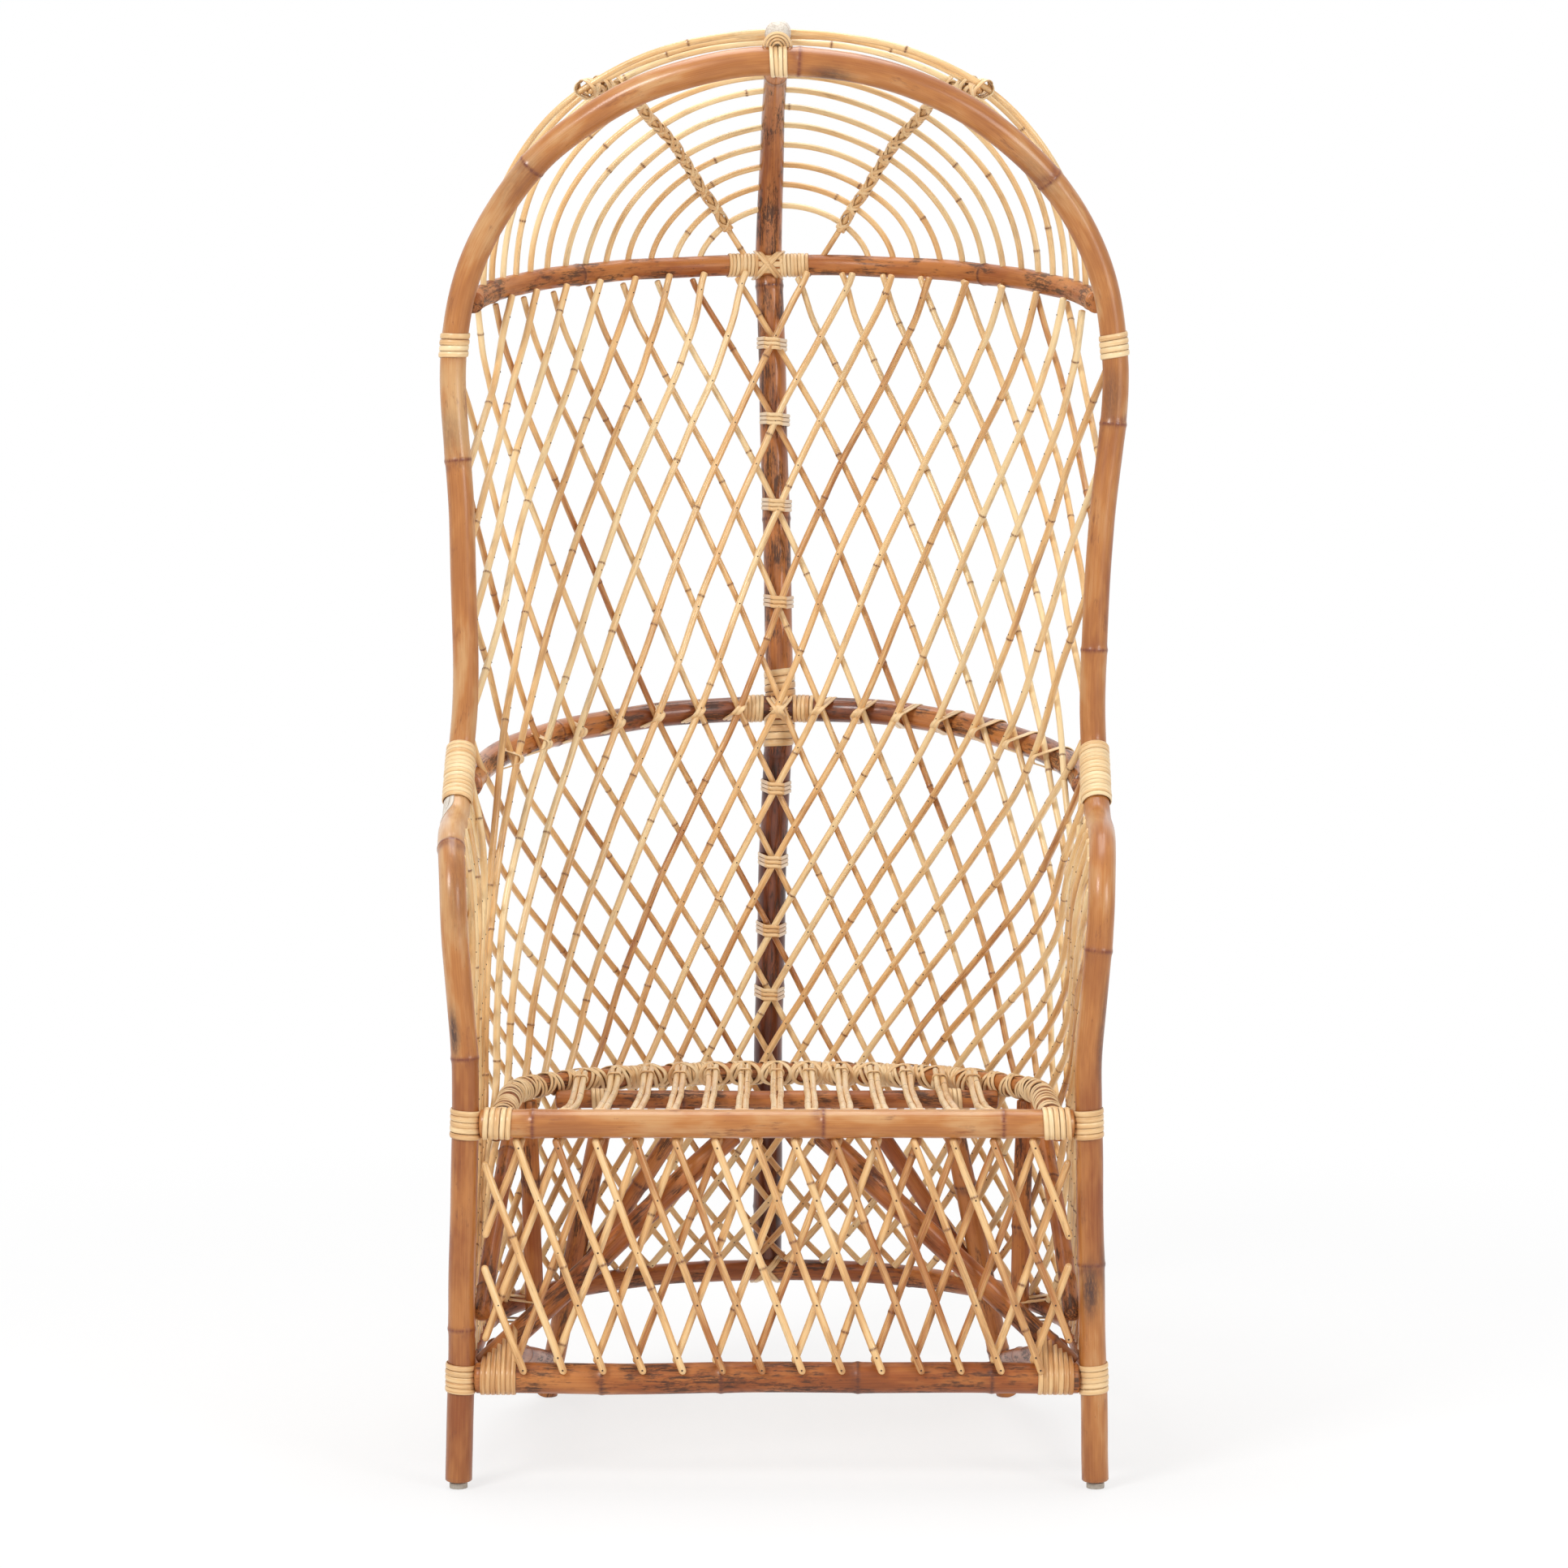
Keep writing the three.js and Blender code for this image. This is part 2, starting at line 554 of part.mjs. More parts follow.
for (const [word, side] of sides) {
  const legTop = at(side * REAR_TOP_HALF, CROSS_RAIL_DEPTH, CROSS_RAIL_Z);
  const legFoot = at(side * REAR_FOOT_HALF, CROSS_RAIL_DEPTH + REAR_LEG_RAKE, 0);
  const legAt = (z) => legFoot.clone().lerp(legTop, z / CROSS_RAIL_Z);
  const leg = `rear_leg_${word}`;
  bars[leg] = { points: straight(legFoot, legTop), radius: REAR_LEG_R };
  const legBar = onFloor(tube(bars[leg].points, REAR_LEG_R), legTop.clone().sub(legFoot));
  addPiece(leg, seated(legBar, ['cross_rail', 'back_rail']), darkPole);
  const post = `front_post_${word}`;
  const bottomBindings = [`bottom_wrap_${word}`, `bottom_strap_${word}`];
  addPole(`front_brace_${word}`, straight(
    at(side * FRONT_BRACE_FOOT_HALF, FRONT_BRACE_DEPTH, FRONT_RAIL_Z + FRONT_RAIL_R),
    at(side * FRONT_BRACE_TOP_HALF, FRONT_BRACE_DEPTH, SEAT_RAIL_Z - FRONT_BRACE_R),
  ), FRONT_BRACE_R, darkPole, ['front_rail', 'seat_rail', post, ...bottomBindings]);
  addPole(`rear_brace_${word}`, straight(
    legAt(BACK_RAIL_Z), at(side * REAR_BRACE_TOP_HALF, CROSS_RAIL_DEPTH, CROSS_RAIL_Z),
  ), THIN_BRACE_R, darkPole, [leg, 'cross_rail']);
  addPole(`side_stretcher_${word}`, straight(
    legAt(STRETCHER_BACK_Z), at(side * FRONT_BRACE_FOOT_HALF, FRONT_BRACE_DEPTH, STRETCHER_FRONT_Z),
  ), THIN_BRACE_R, darkPole, [leg, `front_brace_${word}`, post, `bottom_wrap_${word}`]);
  const ringSide = (depth) => ringAt(side * ringHalf(depth));
  addPole(`side_brace_${word}`, straight(
    at(side * SIDE_BRACE_FOOT_HALF, SIDE_BRACE_FOOT_DEPTH, SIDE_BRACE_FOOT_Z),
    ringSide(SIDE_BRACE_TOP_DEPTH),
  ), THIN_BRACE_R, darkPole, ['seat_ring', `seat_edge_${word}`, post]);
  const wallFoot = wallLine(BACK_RAIL_Z, side * degrees(UPRIGHT_ANGLE));
  const foot = wallFoot.point.addScaledVector(wallFoot.inward, UPRIGHT_INSET);
  foot.setZ(BACK_RAIL_Z - BACK_RAIL_R);
  addPole(`side_upright_${word}`, straight(foot, ringSide(foot.y)), UPRIGHT_R, darkPole,
    ['seat_ring', 'cross_rail']);
}

// Joins canes of two layers by a nail at enough of their crossings to make one body
function nailed(canes, crossings) {
  const group = canes.map((_, i) => i);
  const rootOf = (i) => (group[i] === i ? i : rootOf(group[i]));
  let body = null;
  const parts = canes.map((cane) => cane.geometry);
  for (const { first, second, from, to } of crossings) {
    if (rootOf(first) !== rootOf(second)) {
      group[rootOf(first)] = rootOf(second);
      parts.push(tube([from, to], PIN_R, PIN_SIDES));
    }
  }
  for (const part of parts) body = body ? body.add(toSolid(part)) : toSolid(part);
  return mainBody(body);
}

// Back lattice: rows count up the spine from the mid rail, columns count round the wall from the spine
const rowHeight = (row) => MID_RAIL_Z + (row > 0
  ? ROW_RISE_UP * row - ROW_FADE_UP * row * row
  : ROW_RISE_DOWN * row + ROW_FADE_DOWN * row * row);
const outerInset = MID_RAIL_R + CANE_R + SEAT_GAP + BEND_ROOM;
const innerInset = outerInset + 2 * CANE_R + LAYER_GAP;
const midBulge = innerInset - UPPER_RAIL_R - CANE_R - SEAT_GAP;

function columnTurn(row, column) {
  const upShare = clamp((rowHeight(row) - MID_RAIL_Z) / (UPPER_RAIL_Z - MID_RAIL_Z), 0, 1);
  return degrees(column * lerp(COLUMN_ANGLE, COLUMN_ANGLE_TOP, upShare));
}

function latticePoint(row, column, layer) {
  const z = rowHeight(row);
  const angle = columnTurn(row, column);
  const { point, inward } = wallLine(z, angle);
  const away = midBulge * clamp(Math.abs(row) / BULGE_ROWS, 0, 1);
  const turnShare = THREE.MathUtils.smoothstep(Math.abs(angle), degrees(SIDE_FROM), Math.PI / 2);
  const rowShare = clamp(Math.abs(row) / SIDE_ROWS, 0, 1);
  const inset = (layer === 'inner' ? innerInset : outerInset) - away - SIDE_SHIFT * turnShare * rowShare;
  return { point: point.addScaledVector(inward, inset), inward };
}

function gapToBar(point, name) {
  const { points, radius } = bars[name];
  let least = Infinity;
  const segment = new THREE.Line3();
  const nearest = at(0, 0, 0);
  points.slice(1).forEach((end, i) => {
    segment.set(points[i], end).closestPointToPoint(point, true, nearest);
    const share = (i + 0.5) / (points.length - 1);
    const r = typeof radius === 'function' ? radius(share) : radius;
    least = Math.min(least, nearest.distanceTo(point) - r);
  });
  return least;
}

const wallBars = [...posts, 'hood_hoop', 'back_rail', 'upper_rail', 'mid_rail',
  'arm_binding_left', 'arm_binding_right', 'upper_wrap_left', 'upper_wrap_right',
  'hoop_strap_left', 'hoop_strap_right', 'seat_strap_left', 'seat_strap_right'];

// Height of the arm's centre line at a depth behind the front posts
function armHeight(depth) {
  const { points } = bars.front_post_right;
  const heights = points.slice(1).flatMap((end, i) => {
    const begin = points[i];
    if (end.y <= begin.y || depth < begin.y || depth > end.y) return [];
    return [lerp(begin.z, end.z, (depth - begin.y) / (end.y - begin.y))];
  });
  return heights.length ? Math.max(...heights) : SPLICE_Z;
}

function insideWall(row, column, layer) {
  const { point } = latticePoint(row, column, layer);
  const turn = Math.abs(columnTurn(row, column));
  if (row > 0 && turn > degrees(HOOD_LAST_ANGLE)) return false;
  if (Math.abs(column) > SIDE_COLUMNS) return false;
  if (turn > Math.PI / 2 && point.z > armHeight(point.y) - POST_R * END_LAP) return false;
  const railTop = wallLine(UPPER_RAIL_Z, degrees(column * COLUMN_ANGLE_TOP)).point;
  if (point.z > railTop.z - UPPER_RAIL_R * END_LAP) return false;
  if (point.z < BACK_RAIL_Z + BACK_RAIL_R * END_LAP) return false;
  return wallBars.every((name) => gapToBar(point, name) > CANE_R + SEAT_GAP / 2);
}

const lattice = [];
for (const [layer, lean] of [['inner', 1], ['outer', -1]]) {
  for (let start = -LATTICE_STARTS; start <= LATTICE_STARTS; start += 1) {
    const columnAt = (row) => start + lean * row;
    let run = [];
    for (let row = ROW_LOW; row <= ROW_HIGH + ROW_STEP; row += ROW_STEP) {
      if (insideWall(row, columnAt(row), layer)) {
        run.push(row);
        continue;
      }
      if (run.length * ROW_STEP > SHORTEST_ROWS) {
        lattice.push({ layer, start, columnAt, low: run[0], high: run.at(-1) });
      }
      run = [];
    }
  }
}

for (const cane of lattice) {
  const between = [];
  const firstRing = CANE_RING_ROWS * Math.ceil(cane.low / CANE_RING_ROWS);
  for (let row = firstRing; row < cane.high; row += CANE_RING_ROWS) between.push(row);
  const offEnds = (row) => row - cane.low > END_ROWS && cane.high - row > END_ROWS;
  const rows = [cane.low, ...between.filter(offEnds), cane.high];
  const places = rows.map((row) => latticePoint(row, cane.columnAt(row), cane.layer));
  cane.rows = rows;
  cane.points = places.map((place) => place.point);
  const inward = places.map((place) => place.inward);
  cane.geometry = tube(cane.points, CANE_R * SQUARE_SHARE, CANE_SIDES, inward);
}

function caneAt(cane, row) {
  const next = cane.rows.findIndex((value) => value >= row);
  const share = (row - cane.rows[next - 1]) / (cane.rows[next] - cane.rows[next - 1]);
  return cane.points[next - 1].clone().lerp(cane.points[next], share);
}

const crossings = [];
lattice.forEach((inner, first) => lattice.forEach((outer, second) => {
  if (inner.layer !== 'inner' || outer.layer !== 'outer') return;
  const row = (outer.start - inner.start) / 2;
  const within = (cane) => row > cane.low + NAIL_MARGIN && row < cane.high - NAIL_MARGIN;
  if (!within(inner) || !within(outer)) return;
  const toRing = Math.min(...[...inner.rows, ...outer.rows].map((ring) => Math.abs(ring - row)));
  const offMiddle = Number.isInteger(row) ? 0 : 1;
  const ease = offMiddle + toRing;
  crossings.push({ first, second, ease, from: caneAt(outer, row), to: caneAt(inner, row) });
}));
// Nails go first where they pierce a plain face, away from the rings of the cane
crossings.sort((a, b) => b.ease - a.ease);
addPiece('back_lattice', toGeometry(nailed(lattice, crossings)), paleCane);

// Front skirt: straight canes that lean both ways, the front layer over the face of the bottom rail
const skirtTop = SEAT_RAIL_Z - SEAT_RAIL_R * Math.cos(Math.PI / POLE_SIDES) - SEAT_GAP - CANE_R;
const skirtLow = FRONT_RAIL_Z + FRONT_RAIL_R * SKIRT_LAP;
const skirtHalf = POST_HALF_SEAT - POST_R - CANE_R - SKIRT_CLEAR;
const railFace = Math.sqrt(FRONT_RAIL_R ** 2 - (skirtLow - FRONT_RAIL_Z) ** 2);
const skirtFront = -railFace - CANE_R - 2 * SEAT_GAP;
const skirtBackLow = FRONT_RAIL_Z + FRONT_RAIL_R + CANE_R + SEAT_GAP;
const skirt = [];
for (const [layer, lean] of [['front', 1], ['back', -1]]) {
  const low = layer === 'front' ? skirtLow : skirtBackLow;
  const depth = (z) => lerp(skirtFront, 0, (z - skirtLow) / (skirtTop - skirtLow))
    + (layer === 'front' ? 0 : 2 * CANE_R + LAYER_GAP);
  for (let start = -SKIRT_STARTS; start <= SKIRT_STARTS; start += 1) {
    const slope = (lean * SKIRT_RUN) / (skirtTop - skirtLow);
    const xAt = (z) => (start + 0.5) * SKIRT_PITCH + slope * (skirtTop - z) - (lean * SKIRT_RUN) / 2;
    const zAt = (x) => skirtTop - (x - xAt(skirtTop)) / slope;
    const reach = [zAt(-skirtHalf), zAt(skirtHalf)].sort((a, b) => a - b);
    const from = Math.max(low, reach[0]);
    const to = Math.min(skirtTop, reach[1]);
    if (to - from < SKIRT_PITCH) continue;
    const ends = [from, to].map((z) => at(xAt(z), depth(z), z));
    const facing = ends.map(() => at(0, 1, 0));
    const geometry = tube(ends, CANE_R * SQUARE_SHARE, CANE_SIDES, facing);
    skirt.push({ layer, xAt, slope, depth, from, to, geometry });
  }
}
const skirtCrossings = [];
skirt.forEach((front, first) => skirt.forEach((back, second) => {
  if (front.layer !== 'front' || back.layer !== 'back') return;
  const z = skirtTop - (back.xAt(skirtTop) - front.xAt(skirtTop)) / (front.slope - back.slope);
  const within = (cane) => z > cane.from + CANE_R && z < cane.to - CANE_R;
  if (!within(front) || !within(back)) return;
  const nail = (cane) => at(front.xAt(z), cane.depth(z), z);
  const offMiddle = (cane) => Math.abs(z - (cane.from + cane.to) / 2);
  const ease = Math.min(offMiddle(front), offMiddle(back));
  skirtCrossings.push({ first, second, ease, from: nail(back), to: nail(front) });
}));
skirtCrossings.sort((a, b) => b.ease - a.ease);
addPiece('front_skirt', toGeometry(nailed(skirt, skirtCrossings)), paleCane);

// Hood: bent canes let into the spine and the upper rail, tied to one diagonal rib a side
function arcPoint(count, side, turn) {
  const foot = wallLine(UPPER_RAIL_Z, side * degrees(ARC_FIRST + ARC_STEP * count)).point;
  const top = hoodProfile(degrees(ARC_SPINE_FIRST + ARC_SPINE_STEP * count));
  return at(
    foot.x * Math.sin(turn),
    lerp(foot.y, top.y, Math.cos(turn)),
    lerp(foot.z, top.z, Math.cos(turn)),
  );
}

const hoodCentre = at(0, WALL_CENTRE_DEPTH, UPPER_RAIL_Z);
for (const [word, side] of sides) {
  const rib = [onRail(UPPER_RAIL_Z, side * RIB_FOOT_HALF)];
  const canes = [];
  for (let count = 0; count < ARC_COUNT; count += 1) {
    const clear = (turn) => [['spine', 2 * SEAT_GAP], ['upper_rail', 4 * SEAT_GAP]].every(
      ([name, gap]) => gapToBar(arcPoint(count, side, turn), name) > gap,
    );
    const trials = Array.from({ length: ARC_TRIALS }, (_, i) => (Math.PI / 2) * (i / ARC_TRIALS));
    const open = trials.filter(clear);
    const partWay = (i) => lerp(open[0], open.at(-1), i / ARC_STEPS);
    const turns = Array.from({ length: ARC_STEPS + 1 }, (_, i) => partWay(i));
    canes.push(tube(turns.map((turn) => arcPoint(count, side, turn)), ARC_R * SQUARE_SHARE, CANE_SIDES));
    const crossing = arcPoint(count, side, degrees(RIB_TURN));
    const inward = hoodCentre.clone().sub(crossing).normalize();
    rib.push(crossing.addScaledVector(inward, ARC_R + RIB_R - RIB_LET_IN));
  }
  const ribBar = seated(tube(rib, RIB_R, RIB_SIDES), ['upper_rail', `upper_wrap_${word}`]);
  const cage = canes.reduce((body, cane) => body.add(toSolid(cane)), toSolid(ribBar));
  addPiece(`hood_cage_${word}`, toGeometry(mainBody(cage)), paleCane);
}

// The origin is under the middle of the chair, on the floor
const box = new THREE.Box3().setFromObject(chair);
chair.position.y = -(box.min.y + box.max.y) / 2;

console.log('least gap of each winding to itself, mm:');
for (const [name, least] of leastGaps) console.log(`  ${name} ${least.toFixed(2)}`);

export default chair;
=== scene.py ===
# Hooded rattan chair: round poles, canes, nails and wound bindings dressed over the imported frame.
# Sizes are millimetres: X to the right, depth back from the plane of the front posts, Z up.
import math
import random

import bpy
import numpy as np
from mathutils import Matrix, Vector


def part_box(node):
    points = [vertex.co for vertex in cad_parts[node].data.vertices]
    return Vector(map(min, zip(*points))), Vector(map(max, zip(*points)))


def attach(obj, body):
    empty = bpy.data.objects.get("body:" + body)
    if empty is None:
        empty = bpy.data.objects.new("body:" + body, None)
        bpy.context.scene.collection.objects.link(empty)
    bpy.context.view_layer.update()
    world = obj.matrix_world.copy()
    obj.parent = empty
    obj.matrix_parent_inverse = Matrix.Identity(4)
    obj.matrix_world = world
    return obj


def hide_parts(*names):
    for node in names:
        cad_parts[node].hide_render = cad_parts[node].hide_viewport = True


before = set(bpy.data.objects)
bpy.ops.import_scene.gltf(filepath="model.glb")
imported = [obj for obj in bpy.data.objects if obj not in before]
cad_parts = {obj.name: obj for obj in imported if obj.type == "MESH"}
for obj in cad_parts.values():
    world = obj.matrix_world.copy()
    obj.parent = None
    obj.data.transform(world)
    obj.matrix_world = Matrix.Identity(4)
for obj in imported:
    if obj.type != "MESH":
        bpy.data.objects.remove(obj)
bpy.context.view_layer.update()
scene = bpy.context.scene

# Frame
MM = 0.001
SIDES = (("left", -1), ("right", 1))
plug_low, plug_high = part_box("foot_plug_left")
FRONT_Y = (plug_low.y + plug_high.y) / 2 / MM

# Radii of the poles, canes and strips; a POLE_R is a rail's radius here, where that of its solid differs
POST_R = 15
HOOP_R = 15
HOOP_SWELL = 1.5
SPINE_R = (18, 17.5, 17, 14)
UPPER_RAIL_R = 13
MID_RAIL_R = 14
MID_POLE_R = 15.5
BACK_RAIL_R = 13
FRONT_RAIL_R = 18
FRONT_POLE_R = 17
SEAT_RAIL_R = 16
SEAT_RING_R = 13
RING_POLE_R = 12
CROSS_RAIL_R = 11
REAR_LEG_R = 13
UPRIGHT_R = 11
FRONT_BRACE_R = 13
THIN_BRACE_R = 10
CANE_R = 4.3
OUTER_CANE_R = 3.8
ARC_R = 3.8
SLAT_R = 3.7
STRIP_THICK = 1.6
SEAT_GAP = 0.3

# Front posts, arms and hood hoop
PLUG_H = 6
POST_HALF_FOOT = 354
POST_HALF_SEAT = 345
ARM_BENDS = ((0, 0, 435), (0, 0, 487), (0.5, 0, 610), (0.65, 10, 674), (0.85, 50, 713), (1, 165, 733))
SPLICE = (367, 212, 778)
SPLICE_SLOPE = math.radians(48)
BINDING_HALF = 40
HOOP_DEPTH = 240
HOOP_LEGS = ((364, 873), (370, 1067))
HOOP_HALF = 382
HOOP_SPRING_Z = 1260
HOOP_RISE = 332
HOOP_LEAN = 85
ARCH_TURNS = (0, 20, 40, 60, 75, 90, 105, 120, 140, 160, 180)

# Back wall: heights at the spine, then half widths and depth radii at those heights
BACK_RAIL_Z = 125
MID_RAIL_Z = 833
UPPER_RAIL_Z = 1391
RAIL_HEIGHTS = (BACK_RAIL_Z, MID_RAIL_Z, UPPER_RAIL_Z)
WALL_HALF = (350, 357, 361)
WALL_DEPTH = (370, 390, 430)
SIDE_DROP = 67
WALL_CENTRE_DEPTH = 250
SPINE_SETBACK = 17
HOOD_RISE = 254
HOOD_SINK = 16
HOOD_SINK_FROM = math.radians(50)
HOOD_TURNS = (0, 15, 30, 45, 60, 75, 90)
MID_RAIL_END = 93.4

# Seat and the poles under it
SEAT_RAIL_Z = 407
FRONT_RAIL_Z = 123
RING_HALF = 312
RING_DEPTH = 540
RING_CORNER_DEPTH = 290
RING_FRONT_Z = 396
RING_BACK_Z = 386
CROSS_RAIL_DEPTH = 400
CROSS_RAIL_Z = 374
SLAT_PAIRS = 13
SLAT_PITCH = 39.5
CLOSE_TURNS = (-4.5, -2.5, 1.5, 3.5, 5.5)
REAR_FOOT = (282, 462)
REAR_TOP_HALF = 206
STRETCHER_Z = (152, 45)
FRONT_BRACE_HALF = (318, 46)
FRONT_BRACE_DEPTH = 30
REAR_BRACE_TOP_HALF = 98
SIDE_BRACE_FOOT = (329, 10, 190)
SIDE_BRACE_TOP_DEPTH = 325
UPRIGHT_ANGLE = math.radians(70)
UPRIGHT_INSET = 41

# Crookedness: the hood leans to the right and the spine wanders to the left of it
HOOD_LEAN = 9
HOOD_LEAN_FROM = (760, 1250)
SPINE_SWAY_Z = (125, 420, 640, 833, 1000, 1180, 1391, 1570, 1700)
SPINE_SWAY_X = (-12, -11, -5, 3, -3, -10, -20, -14, 0)

# Cane work
COLUMN_ANGLE = (8.9, 9)
COLUMN_DRAW = 2.3
COLUMN_DRAW_POWER = 1.4
BACK_COLUMNS = 8
COLUMN_WIDENING = (0.0, 0.2, 0.05)
SIDE_PITCH = 52
ROWS_UP = (141, -6.6)
ROWS_DOWN = (101.5, 3.0)
LAYER_GAP = 3
SIDE_SHIFT = 10.5
BULGE_ROWS = 4
ARC_COUNT = 13
ARC_FIRST = (17.4, 17)
ARC_STEP = (5.125, 6)
SKIRT_PITCH = 44
SKIRT_RUN = 97
SKIRT_RISE = 253.8


# Lines

CURVE_STEPS = 24
OFF_AXIS = 1e-3
WANDER_FADE = 40
WANDER_WAVES = (520, 270, 140)


def at(x, depth, z):
    return np.array((x, depth, z), float)


RIGHT = at(1, 0, 0)
FORWARD = at(0, -1, 0)
UP = at(0, 0, 1)


def unit(vectors):
    return vectors / np.linalg.norm(vectors, axis=-1, keepdims=True)


def lengths_of(line):
    return np.r_[0, np.cumsum(np.linalg.norm(np.diff(line, axis=0), axis=1))]


def length_of(line):
    return lengths_of(line)[-1]


def mark_of(line, place):
    """Distance along a line of its point nearest a place."""
    return lengths_of(line)[np.linalg.norm(line - place, axis=1).argmin()]


def along(line, marks):
    """Points at the given distances along a line."""
    lengths = lengths_of(line)
    return np.column_stack([np.interp(marks, lengths, line[:, axis]) for axis in range(3)])


def curve(points):
    """Dense points on a centripetal Catmull-Rom curve through the given points."""
    p = np.asarray(points, float)
    p = np.vstack([2 * p[0] - p[1], p, 2 * p[-1] - p[-2]])
    gaps = np.sqrt(np.linalg.norm(np.diff(p, axis=0), axis=1))[:, None]
    chords = np.diff(p, axis=0) / gaps
    slopes = chords[:-1] - (p[2:] - p[:-2]) / (gaps[:-1] + gaps[1:]) + chords[1:]
    t = np.linspace(0, 1, CURVE_STEPS, endpoint=False)[:, None]
    runs = []
    for start, stop, leave, arrive, gap in zip(p[1:-2], p[2:-1], slopes[:-1], slopes[1:], gaps[1:-1]):
        first = (2 * t**3 - 3 * t**2 + 1) * start + (t**3 - 2 * t**2 + t) * leave * gap
        runs.append(first + (3 * t**2 - 2 * t**3) * stop + (t**3 - t**2) * arrive * gap)
    return np.vstack(runs + [p[-2]])


def carried(tangents, normal):
    """A normal carried along a line without twist, with the binormal beside it."""
    normal = normal + OFF_AXIS
    normals = np.empty_like(tangents)
    for i, tangent in enumerate(tangents):
        normal = normal - tangent * (normal @ tangent)
        normal = normal / np.linalg.norm(normal)
        normals[i] = normal
    return normals, np.cross(tangents, normals)


def square_to(tangents, out):
    """The way out, turned square to each tangent."""
    return unit(out - tangents * np.sum(out * tangents, axis=1, keepdims=True))


def graded(marks, values):
    """A value that changes with the distance along a line."""
    return lambda mark: float(np.interp(mark, marks, values))


def at_marks(value, marks):
    """A number or a function of the distance along, as one value a mark."""
    return np.array([value(mark) if callable(value) else value for mark in marks], float)


def draws(rng, low, high):
    return np.array([rng.uniform(low, high) for _ in range(3)])


def wander(line, amount, rng):
    """The same line with the slight crookedness of grown cane; its ends stay in place."""
    marks = lengths_of(line)
    fade = np.clip(np.minimum(marks, marks[-1] - marks) / WANDER_FADE, 0, 1)[:, None]
    shift = np.zeros_like(line)
    for wave in WANDER_WAVES:
        phase = draws(rng, 0, math.tau)
        push = draws(rng, -1, 1)
        shift += np.sin(math.tau * marks[:, None] / wave + phase) * push * (wave / WANDER_WAVES[0]) ** 0.5
    return line + amount * fade * shift


def grain_of(marks, across, out, rng):
    """Cane-space coordinates in metres, with a place of its own in the noise for each piece of cane."""
    parts = zip((marks[:, None], across, out), draws(rng, -GRAIN_SPREAD, GRAIN_SPREAD))
    return np.stack(np.broadcast_arrays(*(part * MM + shift for part, shift in parts)), axis=-1)


class Batch:
    """Rings gathered into one mesh, with the cane-space coordinates that the materials read.
    All that is added to it draws from its random stream."""

    def __init__(self, rng):
        self.rng = rng
        self.points = []
        self.faces = []
        self.grain = []
        self.marks = []
        self.count = 0

    def add(self, rings, grain, tone, node, stain):
        turns, sides = rings.shape[:2]
        index = self.count + np.arange(turns * sides).reshape(turns, sides)
        beside = np.roll(index, -1, axis=1)
        quads = np.stack([index[:-1], beside[:-1], beside[1:], index[1:]], axis=-1)
        self.faces += quads.reshape(-1, 4).tolist()
        self.faces += [index[0, ::-1].tolist(), index[-1].tolist()]
        self.points.append(rings.reshape(-1, 3))
        self.grain.append(grain.reshape(-1, 3))
        marks = np.broadcast_arrays(tone, node, stain, np.zeros((turns, sides)))[:3]
        self.marks.append(np.stack(marks, axis=-1).reshape(-1, 3))
        self.count += turns * sides


def add_object(name, data):
    item = bpy.data.objects.new(name, data)
    scene.collection.objects.link(item)
    return item


def show(name, batch, material, slot, *nodes):
    """Makes one object of a batch; it rides on the chair and stands for the named CAD nodes."""
    points = np.vstack(batch.points) + at(0, FRONT_Y, 0)
    points[:, 0] += HOOD_LEAN * np.interp(points[:, 2], HOOD_LEAN_FROM, (0, 1))
    points = points * MM
    mesh = bpy.data.meshes.new(name)
    mesh.from_pydata(points.tolist(), [], batch.faces)
    for label, rows in (("grain", batch.grain), ("marks", batch.marks)):
        layer = mesh.attributes.new(label, "FLOAT_VECTOR", "POINT")
        layer.data.foreach_set("vector", np.vstack(rows).astype(np.float32).ravel())
    mesh.materials.append(material)
    mesh.shade_smooth()
    piece = add_object(name, mesh)
    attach(piece, "root")
    if nodes:
        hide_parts(*nodes)


# Round bars

GRAIN_SPREAD = 9
NODE_STEPS = (-3, -2, -1.2, -0.7, -0.3, 0, 0.3, 0.7, 1.2, 2, 3)
NODE_REACH = 0.8
SHOULDER_SHARE = 0.35
SHOULDER_OFF = 2.4
SHOULDER_REACH = 3
SCAR_STEPS = (-6, -4.5, -3.8)
SCAR_OFF = 1.7
SCAR_JAG = 0.8
SCAR_REACH = 1.8
END_STEPS = (0.0, 0.12, 0.35, 0.65, 1.0)
END_LEFT = 0.02


